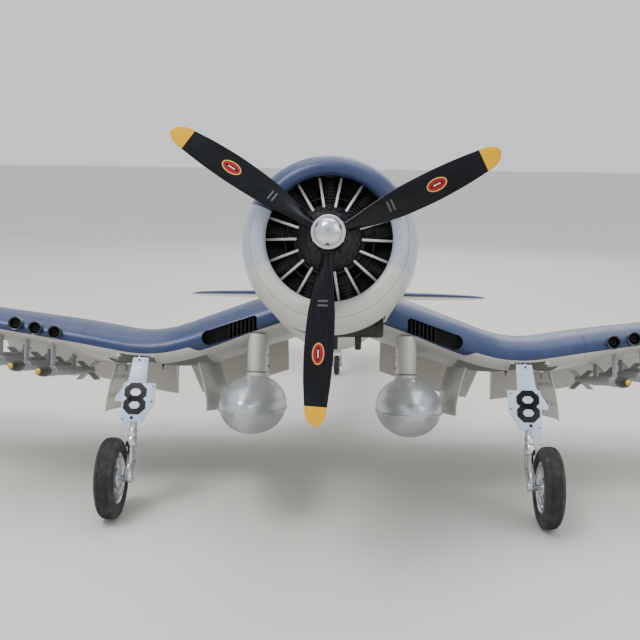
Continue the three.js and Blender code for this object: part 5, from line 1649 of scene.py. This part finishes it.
        bolts = [rod((math.cos(a) * 14, -14.4, math.sin(a) * 14), (math.cos(a) * 14, 8.6, math.sin(a) * 14), 1.5,
                sides=6, edge=0.3) for a in spaced(0.5, 0.5 + 2 * math.pi * 5 / 6, 6)]
        hub = self.across(united(rim, disc, drum, *bolts), self.axle)
        shop.deliver_pair(hub, "wheel hub {side} alloy", "main_wheel_{side}", "bright_alloy", Paint.ALLOY,
                replaces=["wheel_hub_{side}"], smooth=40)

    def build_door(self, shop: Workshop, name: str, hinge: float, free: float, angle: float) -> None:
        """Makes one wheel door: a curved skin with pressed beads inside, standing open."""
        rings, beads = [], []
        for x in spaced(hinge, free, 14):
            ys = spaced(self.door_front, self.door_rear, 24)
            outside = [Vector((x, y, wing_surface(x, y)[1])) for y in ys]
            rings.append(outside + [point + Vector((0, 0, 1.8)) for point in reversed(outside)])
        door = soften(skin(rings), 0.35)
        for column in (0.28, 0.68):
            x = hinge + (free - hinge) * column
            for y in spaced(520, 740, 7):
                z = wing_surface(x, y)[1] + 1.5
                beads.append(block((x - 4.5, y - 10, z), (x + 4.5, y + 10, z + 1.6), 0.8))
        for y in (530, 630, 730):
            x, z = hinge, wing_surface(hinge, y)[1]
            beads.append(block((min(x, x + (free - x) * 0.16), y - 4, z + 1),
                    (max(x, x + (free - x) * 0.16), y + 4, z + 3.4), 0.7))
        lowest = min(wing_surface(hinge, y)[1] for y in (520, 560, 600, 640))
        swing = about(Vector((hinge, 486, lowest - 0.5)), THRUST, angle)
        shop.deliver_pair(moved(united(door, *beads), swing), name + " {side} skin", name + "_{side}_body",
                "pale_grey", Paint.GREY, replaces=[name + "_{side}"])


@dataclass
class TailGear:
    """The steerable tail wheel in its fork."""

    axle: Vector = field(default_factory=lambda: Vector((0.0, 1524.04, -171.34)))
    post_y: float = 1502.0

    def build(self, shop: Workshop) -> None:
        """Makes the post, fork and wheel."""
        y, axle = self.post_y, self.axle
        post = rod((0, y, -38), (0, y, -128), 6, sides=32)
        rings = [rod((0, y, z), (0, y, z - 2.5), 7.6, sides=32, edge=0.5) for z in (-60, -96, -120)]
        bridge = block((-15, y - 8, -137), (15, y + 8, -126), 3, 3)
        arms = [rod((x, y, -131), (x, axle.y, axle.z), 2.9, 2.5, 20) for x in (-12.5, 12.5)]
        eyes = [rod((x - 2, axle.y, axle.z), (x + 2, axle.y, axle.z), 5, sides=28, edge=0.6) for x in (-12.5, 12.5)]
        nuts = [rod((x, axle.y, axle.z), (x + math.copysign(2.2, x), axle.y, axle.z), 3.4, sides=6, edge=0.3)
                for x in (-14.5, 14.5)]
        spindle = rod((-14, axle.y, axle.z), (14, axle.y, axle.z), 2.4, sides=20)
        shop.deliver(united(post, *rings, bridge, *arms, *eyes, *nuts, spindle), "tail fork", "tail_leg_body",
                "bright_alloy", Paint.ALLOY, replaces=["tail_leg"])
        turn = Matrix.Translation(axle) @ Matrix.Rotation(-math.pi / 2, 4, "Z")
        wall = swept([(14.5, -6.4), (17, -8.2), (21, -8.6), (25, -7.4), (27.4, -4.4)], 4)
        tread = [point for x in (-2.4, 0, 2.4) for point in ((28, x - 0.7), (27.3, x - 0.4), (27.3, x + 0.4),
                (28, x + 0.7))]
        tyre = moved(turned([*wall, *tread, *[(r, -x) for r, x in reversed(wall)]], 72, ring=True), turn)
        shop.deliver(tyre, "tail tyre", "tail_wheel_body", "tyre_rubber", Paint.RUBBER, replaces=["tail_wheel"],
                smooth=50)
        hub = moved(turned([(2.8, -6.4), (6, -6.4), (7, -3), (13, -2.4), (14.8, -6.2), (14.8, 6.2), (13, 2.4),
                (7, 3), (6, 6.4), (2.8, 6.4)], 48, ring=True), turn)
        shop.deliver(hub, "tail hub", "tail_wheel_body", "bright_alloy", Paint.ALLOY)


# ---------------------------------------------------------------- stores
@dataclass
class DropTank:
    """A drop tank on its streamlined pylon."""

    x: float = 139.0
    z: float = -245.0
    half_width: float = 57.0
    half_height: float = 52.5
    nose: float = 268.0
    tail: float = 792.0
    seam_z: float = -252.0
    pylon_x: float = 137.0
    pylon_half: float = 19.0

    def fat(self, s: float) -> float:
        """The tank's roundness along its length, 1 at its widest."""
        return math.sin(math.pi * min(max(s, 0.0), 1.0) ** 0.72) ** 0.62 if 0 < s < 1 else 0.0

    def build(self, shop: Workshop) -> None:
        """Makes both tanks with their seams, caps and pylons."""
        shares = [0.5 - 0.5 * math.cos(math.pi * k / 56) for k in range(57)]
        shares = [share ** 1.35 for share in shares]
        profile = [(self.fat(s), self.nose + s * (self.tail - self.nose)) for s in shares]
        profile[0], profile[-1] = (0.01, self.nose), (0.01, self.tail)
        body = turned([(r * 100, y) for r, y in profile], 96)
        place = Matrix.Translation((self.x, 0, self.z)) @ Matrix.Diagonal((self.half_width / 100, 1,
                self.half_height / 100, 1))
        body = moved(body, place)
        outline = [Vector((self.x + self.half_width * self.fat(s) + 2.4, self.nose + s * (self.tail - self.nose), 0))
                for s in shares[3:-3]]
        outline += [Vector((2 * self.x - point.x, point.y, 0)) for point in reversed(outline)]
        seam = skin([[point + Vector((0, 0, z)) for point in outline]
                for z in (self.seam_z - 0.8, self.seam_z + 0.8)])
        seam = soften(seam, 0.5)
        bands = []
        for y in (470, 600):
            s = (y - self.nose) / (self.tail - self.nose)
            radius = self.fat(s)
            ring = turned([(radius * 100 + 0.2, y - 4), (radius * 100 + 1.1, y - 3.4), (radius * 100 + 1.1, y + 3.4),
                    (radius * 100 + 0.2, y + 4), (radius * 100 - 2, y)], 96, ring=True)
            bands.append(moved(ring, place))
        cap_z = self.z + self.half_height * self.fat(0.22)
        cap = rod((self.x, 383, cap_z - 3), (self.x, 383, cap_z + 2.2), 8, 7.4, 32, 0.8)
        shop.deliver_pair(united(body, seam, *bands, cap), "drop tank {side} skin", "airframe", "tank_silver",
                Paint.TANK, replaces=["drop_tank_{side}"], smooth=40)
        self.build_pylon(shop)

    def pylon_outline(self, grow: float) -> list[tuple[float, float]]:
        """The pylon's streamlined plan: half widths and distances aft."""
        shares = [(k / 30) ** 1.8 for k in range(31)]
        return [(max(self.pylon_half * naca(s), 0.4) + grow, 452 + 178 * s + grow * (1 if s > 0.5 else -1))
                for s in shares]

    def build_pylon(self, shop: Workshop) -> None:
        """Makes the pylon, the saddle under it and its screws."""
        def ring(z: float, grow: float) -> Ring:
            """One level of the pylon."""
            half = self.pylon_outline(grow)
            return ([Vector((self.pylon_x + w, y, z)) for w, y in half]
                    + [Vector((self.pylon_x - w, y, z)) for w, y in reversed(half)])

        column = skin([ring(z, 0) for z in (-188, -170, -150, -118)])
        slot = block((self.pylon_x - 30, 440, -188.4), (self.pylon_x + 30, 520, -186.4), 0)
        cut(column, slot)
        saddle = soften(skin([ring(z, grow) for z, grow in ((-206, 2.4), (-196, 1.6), (-188.2, 0.8))]), 0.5)
        shop.deliver_pair(united(soften(column, 0.5), saddle), "tank pylon {side} skin", "airframe", "pale_grey",
                Paint.GREY, replaces=["tank_pylon_{side}"], smooth=40)
        bolts = [rod((self.pylon_x + s * 17.6, y, z), (self.pylon_x + s * 19.8, y, z), 2, sides=12, edge=0.4)
                for s in (-1, 1) for y, z in ((500, -176), (500, -156), (528, -176))]
        gap = skin([ring(z, -1.2) for z in (-190, -185)])
        shop.deliver_pair(united(gap, *bolts), "pylon {side} bolts", "airframe", "engine_black", Paint.SCREW)


@dataclass
class Rockets:
    """Eight rockets on posts under the outer panels."""

    count: int = 4
    first_x: float = 511.0
    pitch: float = 49.0
    drop: float = 38.0

    def build(self, shop: Workshop) -> None:
        """Makes each rocket of both wings."""
        for k in range(self.count):
            x = self.first_x + self.pitch * k
            z = wing_surface(x, 520)[1] - self.drop
            self.build_one(shop, k + 1, x, z)

    def build_one(self, shop: Workshop, number: int, x: float, z: float) -> None:
        """Makes one rocket with its head, fins, posts and lugs, on both sides."""
        head = swept([(0.4, 384), (4.4, 388), (7.0, 396), (8.9, 406), (10, 422), (10, 436)], 4)
        tube = turned([*head, (10, 438), (8.6, 441), (8.4, 452), (8.4, 716), (8.9, 720), (8.9, 736), (7, 742),
                (5, 742), (4.4, 736), (0.4, 736)], 40, centre=(x, 0, z))
        second_paint(tube, lambda centre, _: (centre.y < 389.5) + (centre.y < 439))
        fins = []
        for k in range(4):
            fin = plate([(-0.9, 7), (0.9, 7), (0.9, 27), (-0.9, 27)], 692, 740, 0.3)
            fin.data.transform(Matrix.Translation((x, 0, z)) @ rolled(45 + 90 * k))
            fins.append(fin)
        posts = []
        for y in (474, 606):
            roof = (wing_surface(x, y)[0] + wing_surface(x, y)[1]) / 2
            outline = [(3 * math.sin(a), -11 * math.cos(a)) for a in spaced(0, 2 * math.pi * 19 / 20, 20)]
            rings = [[Vector((x + a, y + b, level)) for a, b in outline] for level in (z + 6, z + 20, roof)]
            posts.append(skin(rings))
            posts.append(turned([(8.2, y - 6), (9.6, y - 5.4), (9.6, y + 5.4), (8.2, y + 6)], 40, ring=True,
                    centre=(x, 0, z)))
        shop.deliver_pair(tube, f"rocket {number} {{side}} body", "airframe", "rocket_olive", Paint.SHELL,
                Paint.OLIVE, Paint.YELLOW, replaces=[f"rocket_{number}_{{side}}"], smooth=40)
        shop.deliver_pair(united(*fins, *posts), f"rocket {number} {{side}} mounts", "airframe", "rocket_olive",
                Paint.SHELL)


# ---------------------------------------------------------------- canopy and cockpit
@dataclass
class Canopy:
    """The fixed windscreen, the sliding hood and the cockpit's fittings."""

    sill: float = 98.4
    screen: Table = Table(((846.5, 58, 143), (876, 59.5, 172), (903.5, 60, 189)))
    hood: Table = Table(((904, 60, 189), (945, 60, 190), (1000, 60, 186), (1048, 60, 176), (1089, 59, 163)))
    wall: float = 1.6

    def arch(self, table: Table, y: float, inset: float, steps: int = 30) -> Ring:
        """Half a hoop over the cockpit, from one sill to the other."""
        _, width, top = table.at(y)
        points = []
        for k in range(steps + 1):
            angle = math.pi * k / steps
            across = math.copysign(abs(math.cos(angle)) ** 0.8, math.cos(angle)) * (width - inset)
            points.append(Vector((across, y, self.sill + (top - self.sill - inset) * math.sin(angle) ** 0.72)))
        return points

    def glazing(self, table: Table, low: float, high: float) -> Piece:
        """A clear moulded sheet between two hoops."""
        rings = []
        for y in spaced(low, high, 18):
            rings.append(self.arch(table, y, 0.3) + self.arch(table, y, self.wall)[::-1])
        return skin(rings)

    def strip(self, table: Table, y: float, width: float) -> Piece:
        """A painted frame strip over one hoop."""
        low, high = max(y - width / 2, table.rows[0][0]), min(y + width / 2, table.rows[-1][0])
        outside = [self.arch(table, place, -0.5, 24) for place in (low, high)]
        inside = [self.arch(table, place, self.wall + 0.4, 24) for place in (low, high)]
        rings = [[outside[0][k], outside[1][k], inside[1][k], inside[0][k]] for k in range(25)]
        return soften(skin(rings), 0.25)

    def rail(self, table: Table, share: float, low: float, high: float, width: float) -> Piece:
        """A painted strip along the canopy at a share of the way round its hoops."""
        rings = []
        for y in spaced(low, high, 12):
            outer, inner = self.arch(table, y, -0.5, 200), self.arch(table, y, self.wall + 0.4, 200)
            first = min(max(round(200 * share - width / 2), 0), 200)
            last = min(max(round(200 * share + width / 2), 0), 200)
            rings.append([outer[first], outer[last], inner[last], inner[first]])
        return skin(rings)

    def build(self, shop: Workshop) -> None:
        """Makes the clear sheets, their frames and the cockpit's fittings."""
        shop.deliver(self.glazing(self.screen, 846.5, 903.5), "windscreen sheet", "airframe", "clear_canopy",
                Paint.CLEAR, replaces=["windscreen"], smooth=60)
        shop.deliver(self.glazing(self.hood, 904, 1089), "hood sheet", "canopy", "clear_canopy", Paint.CLEAR,
                replaces=["canopy_hood"], smooth=60)
        screen = [self.strip(self.screen, y, 5) for y in (849, 901)]
        screen += [self.rail(self.screen, share, 846.5, 903.5, 5) for share in (0.01, 0.34, 0.66, 0.99)]
        shop.deliver(united(*screen), "windscreen frame", "airframe", "navy_blue", Paint.BLUE)
        hood = [self.strip(self.hood, y, 4.5) for y in (906.3, 950, 996, 1042, 1086.5)]
        hood += [self.rail(self.hood, share, 904, 1089, 5) for share in (0.01, 0.3, 0.5, 0.7, 0.99)]
        shop.deliver(united(*hood), "hood frame", "canopy", "navy_blue", Paint.BLUE)
        self.build_cockpit(shop)

    def build_cockpit(self, shop: Workshop) -> None:
        """Makes the dials, levers, straps, stick grip and gunsight."""
        rims, faces, hands = [], [], []
        for x, z, radius in ((-36, 80, 7), (-18, 80, 8), (0, 82, 8), (18, 80, 8), (36, 80, 7), (-27, 63, 6),
                (-9, 63, 6.5), (9, 63, 6.5), (27, 63, 6)):
            rims.append(turned([(radius - 1.2, 880), (radius - 1, 881.6), (radius, 881.6), (radius + 0.4, 880)], 32,
                    ring=True, centre=(x, 0, z)))
            faces.append(rod((x, 879.6, z), (x, 880.5, z), radius - 1, sides=32, edge=0.1))
            hands.append(block((x - 0.4, 880.4, z - 1), (x + 0.4, 880.9, z + radius - 3), 0.1))
        shop.deliver(united(*rims, *faces), "instrument dials", "airframe", "engine_black", Paint.DARK)
        shop.deliver(united(*hands), "instrument hands", "airframe", "pale_grey", Paint.DIAL)
        levers = [rod((-34 + 4 * k, 920 + 6 * k, 45), (-34 + 4 * k, 914 + 6 * k, 62), 1.1, sides=12)
                for k in range(3)]
        knobs = [rod((-34 + 4 * k, 914 + 6 * k, 61), (-34 + 4 * k, 912 + 6 * k, 66), 2.4, sides=16, edge=0.8)
                for k in range(3)]
        grip = rod((0, 940.4, 66), (0, 938, 82), 3.6, 3.0, 20, 1.0)
        sight = united(block((-7, 862, 96), (7, 874, 108), 1.5), rod((0, 868, 106), (0, 870, 116), 5, 6, 24, 0.6))
        boxes = [block((28, 915 + 22 * k, 45), (46, 931 + 22 * k, 49), 1) for k in range(3)]
        shop.deliver(united(*levers, *knobs, grip, sight, *boxes), "cockpit controls", "airframe", "engine_black",
                Paint.SCREW)
        straps = [block((x - 4, 1021.4, 58), (x + 4, 1023.2, 111), 0.5) for x in (-11, 11)]
        straps += [block((x - 4, 985, 52), (x + 4, 1022, 53.2), 0.4) for x in (-13, 13)]
        shop.deliver(united(*straps), "seat straps", "airframe", "pale_grey", Paint.BELT)
        buckles = [block((x - 5, 1020.4, 76), (x + 5, 1022, 83), 0.5) for x in (-11, 11)]
        rest = block((-12, 1033, 108), (12, 1040, 130), 3, 3)
        brace = rod((0, 1037, 96), (0, 1037, 112), 2.5, sides=16)
        shop.deliver(united(*buckles, brace), "strap buckles", "airframe", "steel", Paint.STEEL)
        shop.deliver(rest, "head rest", "airframe", "cockpit_green", Paint.COCKPIT)


# ---------------------------------------------------------------- stage
@dataclass
class Studio:
    """A pale floor, soft lights and the camera."""

    eye: Point = (0.0250, -2.1041, 0.6153)
    heading: float = 1.61
    dip: float = 9.566
    lean: float = 0.751
    lens: float = 52.84

    def build(self, shop: Workshop) -> None:
        """Sets the floor, lights, sky and camera."""
        bpy.ops.object.select_all(action="DESELECT")
        bpy.ops.mesh.primitive_plane_add(size=160.0, location=(0, 0, -0.0005))
        floor = bpy.context.active_object
        floor.name = "studio floor"
        recipe = Recipe("studio floor", 0.0, 0.0, Matrix.Identity(4))
        floor.data.materials.append(recipe.finish(recipe.varied(shade("d9d6cf"), 0.05, 1.5),
                recipe.rough(0.6, 0.7, 4.0), recipe.noise(90.0), 0.02, 0.0005))
        self.lamp("key", (-1.5, -2.0, 3.8), 1.5, 92.0)
        self.lamp("fill", (2.8, -1.8, 2.2), 2.4, 26.0)
        self.lamp("overhead", (0.0, 1.0, 3.8), 3.4, 62.0)
        self.lamp("rear", (0.6, 4.2, 2.2), 2.4, 30.0)
        world = bpy.data.worlds.new("studio sky")
        bpy.context.scene.world = world
        world.use_nodes = True
        background = world.node_tree.nodes["Background"]
        background.inputs["Color"].default_value = (0.93, 0.96, 1.0, 1.0)
        background.inputs["Strength"].default_value = 0.95
        camera = bpy.data.objects.new("camera", bpy.data.cameras.new("camera"))
        bpy.context.scene.collection.objects.link(camera)
        camera.data.lens = self.lens
        camera.data.sensor_width = 36.0
        turn = (Matrix.Rotation(math.radians(self.heading), 4, "Z") @ Matrix.Rotation(math.radians(90 - self.dip), 4,
                "X") @ Matrix.Rotation(math.radians(self.lean), 4, "Z"))
        camera.matrix_world = Matrix.Translation(self.eye) @ turn
        bpy.context.scene.camera = camera

    def lamp(self, name: str, place: Point, size: float, power: float) -> None:
        """Adds one square soft light that faces the aircraft."""
        data = bpy.data.lights.new(name, "AREA")
        data.size = size
        data.energy = power
        lamp = bpy.data.objects.new(name, data)
        bpy.context.scene.collection.objects.link(lamp)
        lamp.location = place
        lamp.rotation_euler = (Vector((0, 0, 0.35)) - Vector(place)).to_track_quat("-Z", "Y").to_euler()


def main() -> None:
    """Builds the sub-assemblies in order."""
    logging.basicConfig(level=logging.INFO, format="%(message)s")
    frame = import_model()
    shop = Workshop(frame, own_frame(frame["joints"]))
    shop.dress_frame()
    for assembly in ASSEMBLIES:
        LOG.info("== %s", assembly.__name__)
        assembly().build(shop)


ASSEMBLIES = (Studio, Propeller, Cowling, DummyRadial, EngineBay, Wing, Fuselage, MainGear, TailGear, DropTank,
        Rockets, Canopy)

if __name__ == "__main__":
    main()
